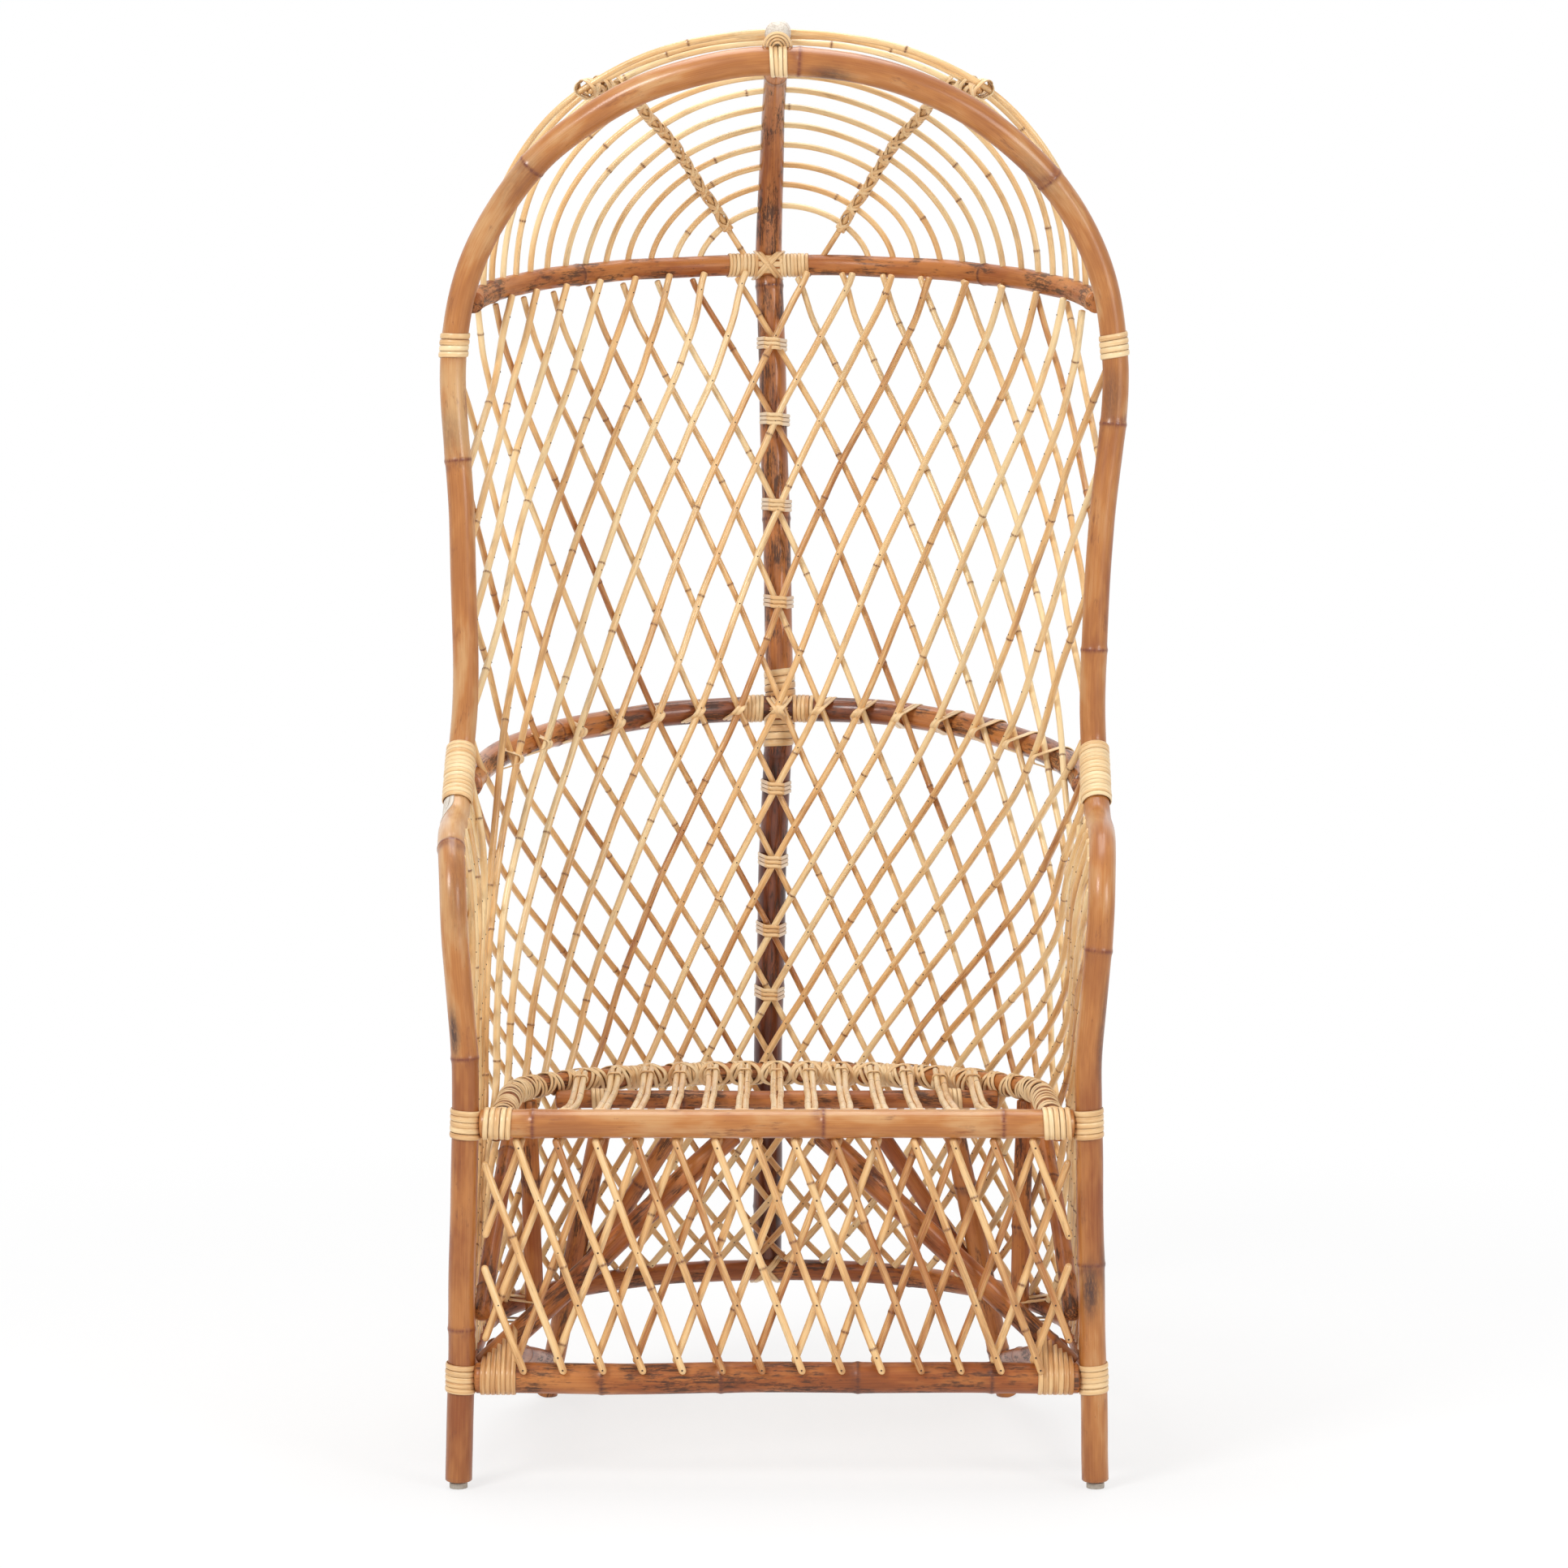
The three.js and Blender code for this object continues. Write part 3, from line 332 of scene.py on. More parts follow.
def strand(batch, line, radius, sides=10, step=9, tone=0.4, nodes=(), ring=2.2, swell=0.5, end=2.0,
           stains=(), patchy=0.06, scar=0.0):
    """A pole or cane along a line, with node rings, rounded ends and dark stains.
    Radius and tone are numbers or functions of the distance along. Patchy is how far the tone differs
    from one length between nodes to the next, and scar the strength of the leaf scar beside each node.
    A stain is (distance, angle, half length, half angle, strength); angle 0 faces the front."""
    length = length_of(line)
    steps = NODE_STEPS + SCAR_STEPS if scar else NODE_STEPS
    marks = list(np.arange(0, length, step)) + [length]
    marks += [node + k * ring for node in nodes for k in steps]
    marks += [end * k for k in END_STEPS] + [length - end * k for k in END_STEPS]
    marks = np.unique(np.round(np.clip(marks, 0, length), 2))
    centre = along(line, marks)
    normals, across = carried(unit(np.gradient(centre, marks, axis=0)), FORWARD)
    angles = math.tau * np.arange(sides) / sides
    size = at_marks(radius, marks)
    node_share = np.zeros((len(marks), 1))
    for node in nodes:
        off = (marks - node) / ring
        shoulder = np.exp(-(((off - SHOULDER_OFF) / SHOULDER_REACH) ** 2))
        size += swell * np.exp(-off**2) + SHOULDER_SHARE * swell * shoulder
        node_share = np.maximum(node_share, np.exp(-((off / NODE_REACH) ** 2))[:, None])
        if scar:
            ragged = off[:, None] + SCAR_OFF + SCAR_JAG * np.sin(3 * angles + node)
            around = 0.6 + 0.4 * np.cos(angles - node)
            node_share = np.maximum(node_share, scar * around * np.exp(-((ragged / SCAR_REACH) ** 2)))
    near_end = np.clip(np.minimum(marks, length - marks) / end, 0, 1)
    size *= np.sqrt(np.clip(1 - (1 - near_end) ** 2, END_LEFT, 1))
    out = normals[:, None] * np.cos(angles)[:, None] + across[:, None] * np.sin(angles)[:, None]
    rings = centre[:, None] + out * size[:, None, None]
    grain = grain_of(marks, size[:, None] * np.cos(angles), size[:, None] * np.sin(angles), batch.rng)
    stain = np.zeros((len(marks), sides))
    for place, angle, reach, spread, strength in stains:
        turn = (angles - math.radians(angle) + math.pi) % math.tau - math.pi
        far = ((marks - place) / reach)[:, None] ** 2 + (turn / math.radians(spread)) ** 2
        stain = np.maximum(stain, strength * np.exp(-(far**1.5)))
    patches = np.array([batch.rng.uniform(-patchy, patchy) for _ in range(len(nodes) + 1)])
    shade = at_marks(tone, marks) + patches[np.searchsorted(sorted(nodes), marks)]
    batch.add(rings, grain, shade[:, None], node_share, stain)


def node_marks(length, rng, spacing):
    """Distances of node rings that come at the uneven spacing of grown cane."""
    marks = []
    place = spacing * rng.uniform(0.1, 1.0)
    while place < length - 0.1 * spacing:
        marks.append(place)
        place += spacing * rng.uniform(0.7, 1.35)
    return marks


def nearest_mark(line, x, z):
    """Distance along a line of its point nearest a place seen from the front."""
    off = np.hypot(line[:, 0] - x, line[:, 2] - z)
    return lengths_of(line)[off.argmin()]


# Most canes are pale straw; a few are honey or brown
CANE_TONES = (0.1, 0.18, 0.25, 0.25, 0.32, 0.4, 0.5, 0.74)


def cane(batch, line, radius, crooked, spacing, shade=float, ring=2.0, swell=0.45, end=2.0):
    """A grown cane along a line; shade makes its tone from the one drawn. Gives back the crooked line."""
    line = wander(line, crooked, batch.rng)
    nodes = node_marks(length_of(line), batch.rng, spacing)
    tone = shade(batch.rng.choice(CANE_TONES))
    strand(batch, line, radius, tone=tone, nodes=nodes, ring=ring, swell=swell, end=end)
    return line


# Wound strips

STRIP_SECTION = ((-0.5, 0), (-0.48, 0.55), (-0.3, 0.92), (0, 1), (0.3, 0.92), (0.48, 0.55), (0.5, 0))
STRIP_TONES = (0.1, 0.2, 0.25, 0.35, 0.5)
EDGE_STAIN = 0.25
LOOP_POINTS = 48


def ribbon(batch, line, out, width=4.5, thick=STRIP_THICK, tone=0.3):
    """A domed strip of split cane that lies along a line, its dome facing out."""
    tangents = unit(np.gradient(line, axis=0))
    out = square_to(tangents, out)
    across = np.cross(tangents, out)
    place, rise = np.array(STRIP_SECTION[::-1]).T
    side = place * width
    lift = rise * thick
    rings = line[:, None] + across[:, None] * side[:, None] + out[:, None] * lift[:, None]
    grain = grain_of(lengths_of(line), side, lift, batch.rng)
    batch.add(rings, grain, tone, 0.0, EDGE_STAIN * np.abs(place * 2)[None, :] ** 6)


def wind(batch, line, radius, start, stop, turns, width=4.5, hand=1, lift=0.0, phase=0.0, tone=0.3,
         steps=26, face=FORWARD, squash=1.0):
    """One strip wound round a bar between two distances along its line; squash flattens it to the face."""
    dense = np.linspace(start, stop, int(turns * steps) + 1)
    centre = along(line, dense)
    normals, across = carried(unit(np.gradient(centre, dense, axis=0)), face)
    angles = (phase + hand * math.tau * turns * np.linspace(0, 1, len(dense)))[:, None]
    out = normals * np.cos(angles) + across * np.sin(angles)
    spot = (normals * np.cos(angles) * squash + across * np.sin(angles)) * (radius + SEAT_GAP)
    ribbon(batch, centre + spot + out * lift, out, width=width, tone=tone)


def hull_loop(circles):
    """Points and outward normals of the tight loop round some circles, (across, forward, radius) each."""
    angles = np.linspace(0, math.tau, LOOP_POINTS, endpoint=False)
    out = np.column_stack([np.sin(angles), np.cos(angles)])
    circles = np.array(circles)
    best = circles[(out @ circles[:, :2].T + circles[:, 2]).argmax(axis=1)]
    return best[:, :2] + best[:, 2:] * out, out


def lash(batch, centre, axis, forward, circles, turns=3, pitch=5.0, width=4.5, tilt=0.0, tone=None):
    """Turns of one strip round a bundle of bars. Tilt slants each turn, in mm of axis per mm across.
    Without a tone one is drawn."""
    tone = batch.rng.choice(STRIP_TONES) if tone is None else tone
    axis = unit(axis)
    forward = unit(forward - axis * (forward @ axis))
    beside = np.cross(forward, axis)
    loop, out = hull_loop([(x, y, r + SEAT_GAP) for x, y, r in circles])
    count = len(loop)
    index = np.arange(count * turns + 1) + count // 2
    local = loop[index % count]
    advance = pitch * ((np.arange(len(index)) / count) - turns / 2) + tilt * local[:, 0]
    line = centre + beside * local[:, :1] + forward * local[:, 1:] + axis * advance[:, None]
    normals = beside * out[index % count, :1] + forward * out[index % count, 1:]
    ribbon(batch, line, normals, width=width, tone=tone)


# Materials

def linear(colour):
    """Scene-linear colour of 8-bit display values."""
    return tuple(((value / 255 + 0.055) / 1.055) ** 2.4 for value in colour) + (1.0,)


class Graph:
    """Short calls for the nodes of one material or world; a value that is a socket is linked."""

    def __init__(self, owner):
        owner.use_nodes = True
        self.owner = owner
        self.nodes = owner.node_tree.nodes
        self.links = owner.node_tree.links
        self.shader = self.nodes.get("Principled BSDF")

    def put(self, socket, value):
        if isinstance(value, bpy.types.NodeSocket):
            self.links.new(value, socket)
        else:
            socket.default_value = value

    def fill(self, node, values):
        for name, value in values.items():
            self.put(node.inputs[name], value)
        return node

    def new(self, kind, *values, **settings):
        """A new node with its settings made and its first inputs filled."""
        node = self.nodes.new(f"ShaderNode{kind}")
        for name, value in settings.items():
            setattr(node, name, value)
        for socket, value in zip(node.inputs, values):
            self.put(socket, value)
        return node

    def attribute(self, name):
        return self.new("Attribute", attribute_name=name).outputs["Vector"]

    def noise(self, vector, stretch, detail, roughness):
        place = self.new("VectorMath", vector, stretch, operation="MULTIPLY").outputs[0]
        values = {"Vector": place, "Scale": 1.0, "Detail": detail, "Roughness": roughness}
        return self.fill(self.new("TexNoise"), values).outputs["Fac"]

    def span(self, value, low, high, to_low=0.0, to_high=1.0):
        values = (value, low, high, to_low, to_high)
        return self.new("MapRange", *values, interpolation_type="SMOOTHSTEP").outputs[0]

    def math(self, operation, first, second, clamp=True):
        return self.new("Math", first, second, operation=operation, use_clamp=clamp).outputs[0]

    def ramp(self, value, colours):
        node = self.new("ValToRGB", value)
        stops = node.color_ramp.elements
        while len(stops) < len(colours):
            stops.new(0.5)
        for i, colour in enumerate(colours):
            stops[i].position = i / (len(colours) - 1)
            stops[i].color = linear(colour)
        return node.outputs[0]

    def mix(self, share, first, second):
        node = self.new("Mix", data_type="RGBA")
        for name, value in (("Factor_Float", share), ("A_Color", first), ("B_Color", second)):
            self.put(next(s for s in node.inputs if s.identifier == name), value)
        return next(s for s in node.outputs if s.identifier == "Result_Color")

    def bump(self, height, distance, strength):
        node = self.fill(self.new("Bump"), {"Height": height, "Distance": distance, "Strength": strength})
        self.put(self.shader.inputs["Normal"], node.outputs[0])


# Noises of the grain: broad shifts, fibre lines, specks, patches and streaks.
# Each has its scale along and across the grain, detail and roughness.
GRAIN_NOISES = ((9, 34, 3.0, 0.6), (16, 900, 2.0, 0.55), (130, 420, 3.0, 0.65), (15, 36, 4.0, 0.7),
                (34, 330, 4.0, 0.72))
STAIN_COLOUR = (74, 46, 36)
GRIME_COLOURS = ((150, 140, 126), (205, 198, 186))


def rattan(name, tones, ring, scuff, roughness, coat, worn=0.5, fibre=0.3, width=1.0, cover=0.0, polish=0.22):
    """Grown cane: fibres and broad shifts of colour along the grain, specks, scuffed patches and node rings.
    Width is about the bar's thickness in units of a thick pole, so that marks keep their scale.
    Cover spreads the dark remains of bark. Polish is the roughness of the varnish."""
    graph = Graph(bpy.data.materials.new(name))
    grain = graph.attribute("grain")
    tone, node, stain = graph.new("SeparateXYZ", graph.attribute("marks")).outputs[:3]
    broad, lines, specks, patches, streaks = (
        graph.noise(grain, (lengthwise, across / width, across / width), detail, rough)
        for lengthwise, across, detail, rough in GRAIN_NOISES)
    shift = graph.math("ADD", graph.span(broad, 0.32, 0.68, -0.24, 0.24),
                       graph.span(lines, 0.3, 0.7, -fibre / 2, fibre / 2), clamp=False)
    colour = graph.ramp(graph.math("ADD", tone, shift), tones)
    bark = graph.math("MULTIPLY", graph.span(patches, 0.5 - cover, 0.62 - cover),
                      graph.span(streaks, 0.47, 0.56))
    dirt = graph.math("MULTIPLY", graph.span(patches, 0.54 - cover, 0.7 - cover),
                      graph.span(specks, 0.42, 0.58))
    flecks = graph.math("MULTIPLY", graph.span(specks, 0.66, 0.74), 0.7)
    marked = graph.math("MAXIMUM", graph.math("MAXIMUM", dirt, flecks), bark)
    marked = graph.math("MULTIPLY", marked, worn)
    ragged = graph.math("MULTIPLY", node, graph.span(streaks, 0.3, 0.6, 0.3, 1.05))
    stained = graph.math("MULTIPLY", stain, graph.span(specks, 0.25, 0.6, 0.5, 1.1))
    for share, over in ((marked, scuff), (ragged, ring), (stained, STAIN_COLOUR)):
        colour = graph.mix(share, colour, linear(over))
    rough = graph.math("ADD", graph.span(broad, 0.3, 0.7, roughness - 0.06, roughness + 0.06),
                       graph.math("MULTIPLY", marked, 0.25))
    graph.fill(graph.shader, {"Base Color": colour, "Roughness": rough, "Specular IOR Level": 0.35,
                              "Coat Weight": coat, "Coat Roughness": polish})
    height = graph.math("SUBTRACT", graph.math("MULTIPLY", lines, 0.5), graph.math("MULTIPLY", marked, 0.4))
    graph.bump(height, 0.0006, 0.35)
    return graph.owner


def plain_plug():
    graph = Graph(bpy.data.materials.new("foot_plug"))
    place = graph.new("TexCoord").outputs["Object"]
    grime = graph.noise(place, (180, 180, 180), 4.0, 0.6)
    graph.fill(graph.shader, {"Base Color": graph.ramp(grime, GRIME_COLOURS), "Roughness": 0.7})
    graph.bump(grime, 0.0004, 0.4)
    return graph.owner


honey = rattan("honey_pole", ((214, 170, 118), (186, 120, 60), (142, 74, 26)), (124, 62, 36), (112, 60, 35),
               0.38, 0.45, worn=0.55, fibre=0.14, cover=-0.06, polish=0.2)
russet = rattan("russet_pole", ((192, 122, 62), (154, 82, 34), (100, 48, 22)), (96, 52, 34), (58, 38, 28),
                0.42, 0.2, worn=0.85, fibre=0.2, cover=0.04)
mahogany = rattan("mahogany_pole", ((196, 126, 68), (142, 78, 42), (88, 38, 23)), (104, 54, 34), (52, 34, 27),
                  0.36, 0.45, worn=0.85, fibre=0.2, cover=0.05, polish=0.14)
straw = rattan("cane", ((250, 222, 170), (236, 189, 127), (172, 105, 48)), (120, 70, 38), (124, 78, 46),
               0.36, 0.5, worn=0.35, fibre=0.22, width=0.4, polish=0.16)
cream = rattan("split_cane", ((250, 222, 174), (236, 194, 138), (196, 136, 78)), (150, 100, 58),
               (118, 80, 50), 0.4, 0.4, worn=0.2, fibre=0.4, width=0.35, polish=0.18)
# Pale finish that stands for light: a painted highlight on the spine's tip and a painted sheen on the left
# arm
painted_sheen = rattan("painted_sheen_end", ((236, 230, 220), (220, 210, 196), (186, 166, 142)), (150, 120, 90),
                  (150, 130, 108), 0.6, 0.0, worn=0.4, fibre=0.5)
iron = rattan("nail", ((96, 66, 44), (70, 48, 34), (46, 34, 28)), (50, 36, 28), (40, 30, 26),
              0.5, 0.1, width=0.2)
for word, _ in SIDES:
    plug_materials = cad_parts[f"foot_plug_{word}"].data.materials
    plug_materials.clear()
    plug_materials.append(plain_plug())


# Centre lines of the frame

def wall_line(spine_z, angle):
    """Point on the wall's plan line and the way inward; spine_z is the height its level has at the spine."""
    fade = np.clip((spine_z - BACK_RAIL_Z) / (MID_RAIL_Z - BACK_RAIL_Z), 0, 1)
    turn = np.clip(angle, -math.pi / 2, math.pi / 2)
    past = (abs(angle) - abs(turn)) / math.radians(COLUMN_ANGLE[0])
    half = np.interp(spine_z, RAIL_HEIGHTS, WALL_HALF)
    depth = np.interp(spine_z, RAIL_HEIGHTS, WALL_DEPTH)
    point = at(
        half * math.sin(turn),
        WALL_CENTRE_DEPTH + depth * math.cos(turn) - past * SIDE_PITCH,
        spine_z - SIDE_DROP * fade * (1 - math.cos(turn)),
    )
    return point, unit(at(-math.sin(turn) / half, -math.cos(turn) / depth, 0))


def wall_rail(spine_z, last=90.0):
    return np.array([wall_line(spine_z, angle)[0] for angle in np.radians(np.linspace(-last, last, 91))])


def near_splice(side, away):
    slope = at(0, math.cos(SPLICE_SLOPE), math.sin(SPLICE_SLOPE))
    return at(side * SPLICE[0], *SPLICE[1:]) + away * slope


def post_at(side, z):
    half = POST_HALF_FOOT + (POST_HALF_SEAT - POST_HALF_FOOT) * z / SEAT_RAIL_Z
    return at(side * half, 0, z)


def post_line(side):
    spread = SPLICE[0] - POST_HALF_SEAT
    bends = [at(side * (POST_HALF_SEAT + share * spread), depth, z) for share, depth, z in ARM_BENDS]
    arm = curve(bends + [near_splice(side, -BINDING_HALF), near_splice(side, -SEAT_GAP)])
    return np.vstack([post_at(side, PLUG_H + SEAT_GAP), post_at(side, SEAT_RAIL_Z), arm])


def hoop_line():
    def leg(side):
        feet = [near_splice(side, SEAT_GAP), near_splice(side, BINDING_HALF)]
        return feet + [at(side * half, HOOP_DEPTH, z) for half, z in HOOP_LEGS]
    arch = []
    for turn in np.radians(ARCH_TURNS):
        rise = math.sin(turn)
        depth = HOOP_DEPTH - HOOP_LEAN * rise**2
        arch.append(at(-HOOP_HALF * math.cos(turn), depth, HOOP_SPRING_Z + HOOP_RISE * rise))
    return curve(leg(-1) + arch + leg(1)[::-1])


def spine_sway(z):
    return np.interp(z, SPINE_SWAY_Z, SPINE_SWAY_X)


def sway(points):
    """The same points with the spine's slight bends to the side."""
    return points + np.multiply.outer(spine_sway(points[..., 2]), RIGHT)


def spine_at(z):
    return at(0, WALL_CENTRE_DEPTH + np.interp(z, RAIL_HEIGHTS, WALL_DEPTH) + SPINE_SETBACK, z)


def hood_profile(turn):
    reach = WALL_DEPTH[2] + SPINE_SETBACK
    sink = HOOD_SINK * np.clip(turn / HOOD_SINK_FROM - 1, 0, 1) ** 2
    return at(0, WALL_CENTRE_DEPTH + reach * math.cos(turn), UPPER_RAIL_Z + HOOD_RISE * math.sin(turn) - sink)


HOOP_TOP = at(0, HOOP_DEPTH - HOOP_LEAN, HOOP_SPRING_Z + HOOP_RISE)
SPINE_TIP = HOOP_TOP + at(0, -HOOP_R / 2, HOOP_R + SPINE_R[3])
hood_line = curve([hood_profile(turn) for turn in np.radians(HOOD_TURNS)] + [SPINE_TIP])
spine_foot = np.linspace(spine_at(BACK_RAIL_Z - BACK_RAIL_R), spine_at(MID_RAIL_Z), 30)
spine_line = sway(np.vstack([spine_foot, hood_line]))
SPINE_THINS = 250
SPINE_MARKS = np.cumsum((0, MID_RAIL_Z - BACK_RAIL_Z, UPPER_RAIL_Z - MID_RAIL_Z, SPINE_THINS))


def ring_point(angle):
    share = math.cos(angle)
    depth = RING_CORNER_DEPTH + (RING_DEPTH - RING_CORNER_DEPTH) * share
    return at(RING_HALF * math.sin(angle), depth, RING_FRONT_Z + (RING_BACK_Z - RING_FRONT_Z) * share)


def ring_side(side, depth):
    return ring_point(side * math.acos((depth - RING_CORNER_DEPTH) / (RING_DEPTH - RING_CORNER_DEPTH)))


def ring_line():
    def front(side):
        return at(side * RING_HALF, SEAT_RAIL_R, RING_FRONT_Z)
    round_back = [ring_point(angle) for angle in np.radians(np.linspace(-90, 90, 61))]
    return np.vstack([front(-1), round_back, front(1)])


# Poles

poles = {}
POLE_STEPS = 160
POLE_CROOKED = 0.8


def pole(name, line, radius, material, slot, tone, nodes=None, node_spacing=300, stains=(), shown=True,
         floor=False):
    """One frame pole, shown in place of the CAD node with its name; floor cuts it off at the ground."""
    rng = random.Random(name)
    line = wander(along(line, np.linspace(0, length_of(line), POLE_STEPS)), POLE_CROOKED, rng)
    nodes = node_marks(length_of(line), rng, node_spacing) if nodes is None else nodes
    batch = Batch(rng)
    strand(batch, line, radius, sides=24, step=7, tone=tone, nodes=nodes, ring=3.2, swell=0.9, end=3.0,
           stains=stains, patchy=0.12, scar=0.75)
    if floor:
        batch.points[0][:, 2] = np.maximum(batch.points[0][:, 2], 0)
    poles[name] = line
    show(f"{name}_pole", batch, material, slot, *([name] if shown else []))


# Nodes and stains that stand out on the real poles; on the hoop and the rails they are at (x, z) or x
POST_NODES = {"left": (178, 480, 722), "right": (250, 600)}
POST_STAINS = {"left": ((505, -40, 26, 26, 0.95), (665, 20, 60, 40, 0.35)),
               "right": ((218, -10, 30, 40, 0.9), (240, 90, 40, 60, 0.6), (500, 60, 60, 30, 0.6))}
HOOP_NODES = ((-376, 1268), (-371, 1142), (-290, 1475), (18, 1590), (312, 1468), (375, 1180), (366, 919))
HOOP_TOP_STAINS = ((54, 55, 24, 50, 0.75), (390, 160, 60, 40, 0.5))
HOOP_SIDE_STAINS = ((373, 1212, 25, 34, 45, 0.5), (-371, 1172, -20, 26, 60, 0.35),
                    (-290, 1450, 0, 40, 60, 0.3), (312, 1490, 30, 40, 50, 0.3))
HOOP_SWELL_REACH = 420
SPINE_NODES = (90, 370, 660, 960, 1255)
SPINE_END_NODES = (330, 165)
SPINE_TONES = ((0, 600, 690, 760, 1200, 1500), (0.85, 0.85, 0.75, 0.14, 0.1, 0.2))
SEAT_RAIL_NODES = (-270, 52, 250)
FRONT_RAIL_NODES = (-195, -62, 88, 238)
MID_RAIL_DARK_REACH = 120

post_tone = graded((380, 620), (0.64, 0.4))
for word, side in SIDES:
    post_nodes = [z - PLUG_H for z in POST_NODES[word]]
    pole(f"front_post_{word}", post_line(side), POST_R, honey, "honey_pole", post_tone, post_nodes,
         stains=POST_STAINS[word])
line = hoop_line()
top_mark = nearest_mark(line, 0, HOOP_TOP[2])
hoop_tone = graded((0, 2 * top_mark), (0.28, 0.56))
hoop_stains = [(top_mark + off, *size) for off, *size in HOOP_TOP_STAINS]
hoop_stains += [(nearest_mark(line, x, z), *size) for x, z, *size in HOOP_SIDE_STAINS]


def hoop_r(mark):
    return HOOP_R + HOOP_SWELL * math.exp(-(((mark - top_mark) / HOOP_SWELL_REACH) ** 2))


pole("hood_hoop", line, hoop_r, honey, "honey_pole", hoop_tone,
     [nearest_mark(line, x, z) for x, z in HOOP_NODES], stains=hoop_stains)


def spine_holes():
    """Dark rims where the hood canes go through the spine."""
    places = [hood_profile(math.radians(ARC_FIRST[1] + ARC_STEP[1] * count)) for count in range(ARC_COUNT)]
    marks = [mark_of(spine_line, place) for place in places]
    return [(mark, angle, 7, 24, 0.9) for mark in marks for angle in (90, -90)]


spine_length = length_of(spine_line)
spine_nodes = [*SPINE_NODES, *(spine_length - back for back in SPINE_END_NODES)]
pole("spine", spine_line, graded(SPINE_MARKS, SPINE_R), mahogany, "dark_pole", graded(*SPINE_TONES),
     spine_nodes, stains=spine_holes())
mid_line = wall_rail(MID_RAIL_Z, MID_RAIL_END)
mid_mark = length_of(mid_line) / 2


def mid_tone(mark):
    return 0.25 + 0.55 * math.exp(-(((mark - mid_mark) / MID_RAIL_DARK_REACH) ** 2))


pole("mid_rail", mid_line, MID_POLE_R, mahogany, "honey_pole", mid_tone)
pole("upper_rail", wall_rail(UPPER_RAIL_Z), UPPER_RAIL_R, russet, "honey_pole", 0.12)
back_line = np.vstack([post_at(-1, BACK_RAIL_Z), wall_rail(BACK_RAIL_Z), post_at(1, BACK_RAIL_Z)])
pole("back_rail", back_line, BACK_RAIL_R, russet, "dark_pole", 0.4)
for name, z, radius, material, slot, tone, places in (
    ("seat_rail", SEAT_RAIL_Z, SEAT_RAIL_R, honey, "honey_pole", 0.46, SEAT_RAIL_NODES),
    ("front_rail", FRONT_RAIL_Z, FRONT_POLE_R, russet, "dark_pole", 0.34, FRONT_RAIL_NODES),
):
    half = post_at(1, z)[0] - POST_R
    line = np.linspace(at(-half, 0, z), at(half, 0, z), 200)
    pole(name, line, radius, material, slot, tone, [nearest_mark(line, x, z) for x in places])
pole("seat_ring", ring_line(), RING_POLE_R, russet, "honey_pole", 0.2)
cross_half = abs(ring_side(1, CROSS_RAIL_DEPTH)[0]) - SEAT_RING_R
cross_ends = [at(side * cross_half, CROSS_RAIL_DEPTH, CROSS_RAIL_Z) for _, side in SIDES]
pole("cross_rail", np.array(cross_ends), CROSS_RAIL_R, russet, "dark_pole", 0.22, shown=False)


def between(start, stop, trim_start, trim_stop):
    """A straight line with its ends drawn in from the bars they meet."""
    way = unit(stop - start)
    return np.array([start + way * trim_start, stop - way * trim_stop])


for word, side in SIDES:
    leg_top = at(side * REAR_TOP_HALF, CROSS_RAIL_DEPTH, CROSS_RAIL_Z)
    leg_foot = at(side * REAR_FOOT[0], REAR_FOOT[1], 0)
    brace_foot = at(side * FRONT_BRACE_HALF[0], FRONT_BRACE_DEPTH, FRONT_RAIL_Z + FRONT_RAIL_R)
    brace_top = at(side * FRONT_BRACE_HALF[1], FRONT_BRACE_DEPTH, SEAT_RAIL_Z - FRONT_BRACE_R)
    leg_low = leg_foot + (leg_top - leg_foot) * BACK_RAIL_Z / CROSS_RAIL_Z
    leg_back = leg_foot + (leg_top - leg_foot) * STRETCHER_Z[1] / CROSS_RAIL_Z
    rear_top = at(side * REAR_BRACE_TOP_HALF, CROSS_RAIL_DEPTH, CROSS_RAIL_Z)
    stretcher_front = at(side * FRONT_BRACE_HALF[0], FRONT_BRACE_DEPTH, STRETCHER_Z[0])
    side_foot = at(side * SIDE_BRACE_FOOT[0], *SIDE_BRACE_FOOT[1:])
    wall_foot, inward = wall_line(BACK_RAIL_Z, side * UPRIGHT_ANGLE)
    upright_foot = wall_foot + inward * UPRIGHT_INSET - at(0, 0, BACK_RAIL_R)
    braces = (
        ("rear_leg", leg_foot, leg_top, 0, CROSS_RAIL_R, REAR_LEG_R, 0.08),
        ("front_brace", brace_foot, brace_top, -16, 2, FRONT_BRACE_R, 0.3),
        ("rear_brace", leg_low, rear_top, REAR_LEG_R, CROSS_RAIL_R, THIN_BRACE_R, 0.4),
        ("side_stretcher", leg_back, stretcher_front, REAR_LEG_R, FRONT_BRACE_R, THIN_BRACE_R, 0.45),
        ("side_brace", side_foot, ring_side(side, SIDE_BRACE_TOP_DEPTH), 0, SEAT_RING_R, THIN_BRACE_R, 0.25),
        ("side_upright", upright_foot, ring_side(side, upright_foot[1]), 0, SEAT_RING_R, UPRIGHT_R, 0.15),
    )
    for stem, start, stop, trim_start, trim_stop, radius, tone in braces:
        pole(f"{stem}_{word}", between(start, stop, trim_start, trim_stop), radius, russet, "dark_pole", tone,
             node_spacing=220, floor=stem == "rear_leg")


# Back lattice: rows count up the spine from the mid rail, columns count round the wall from the spine

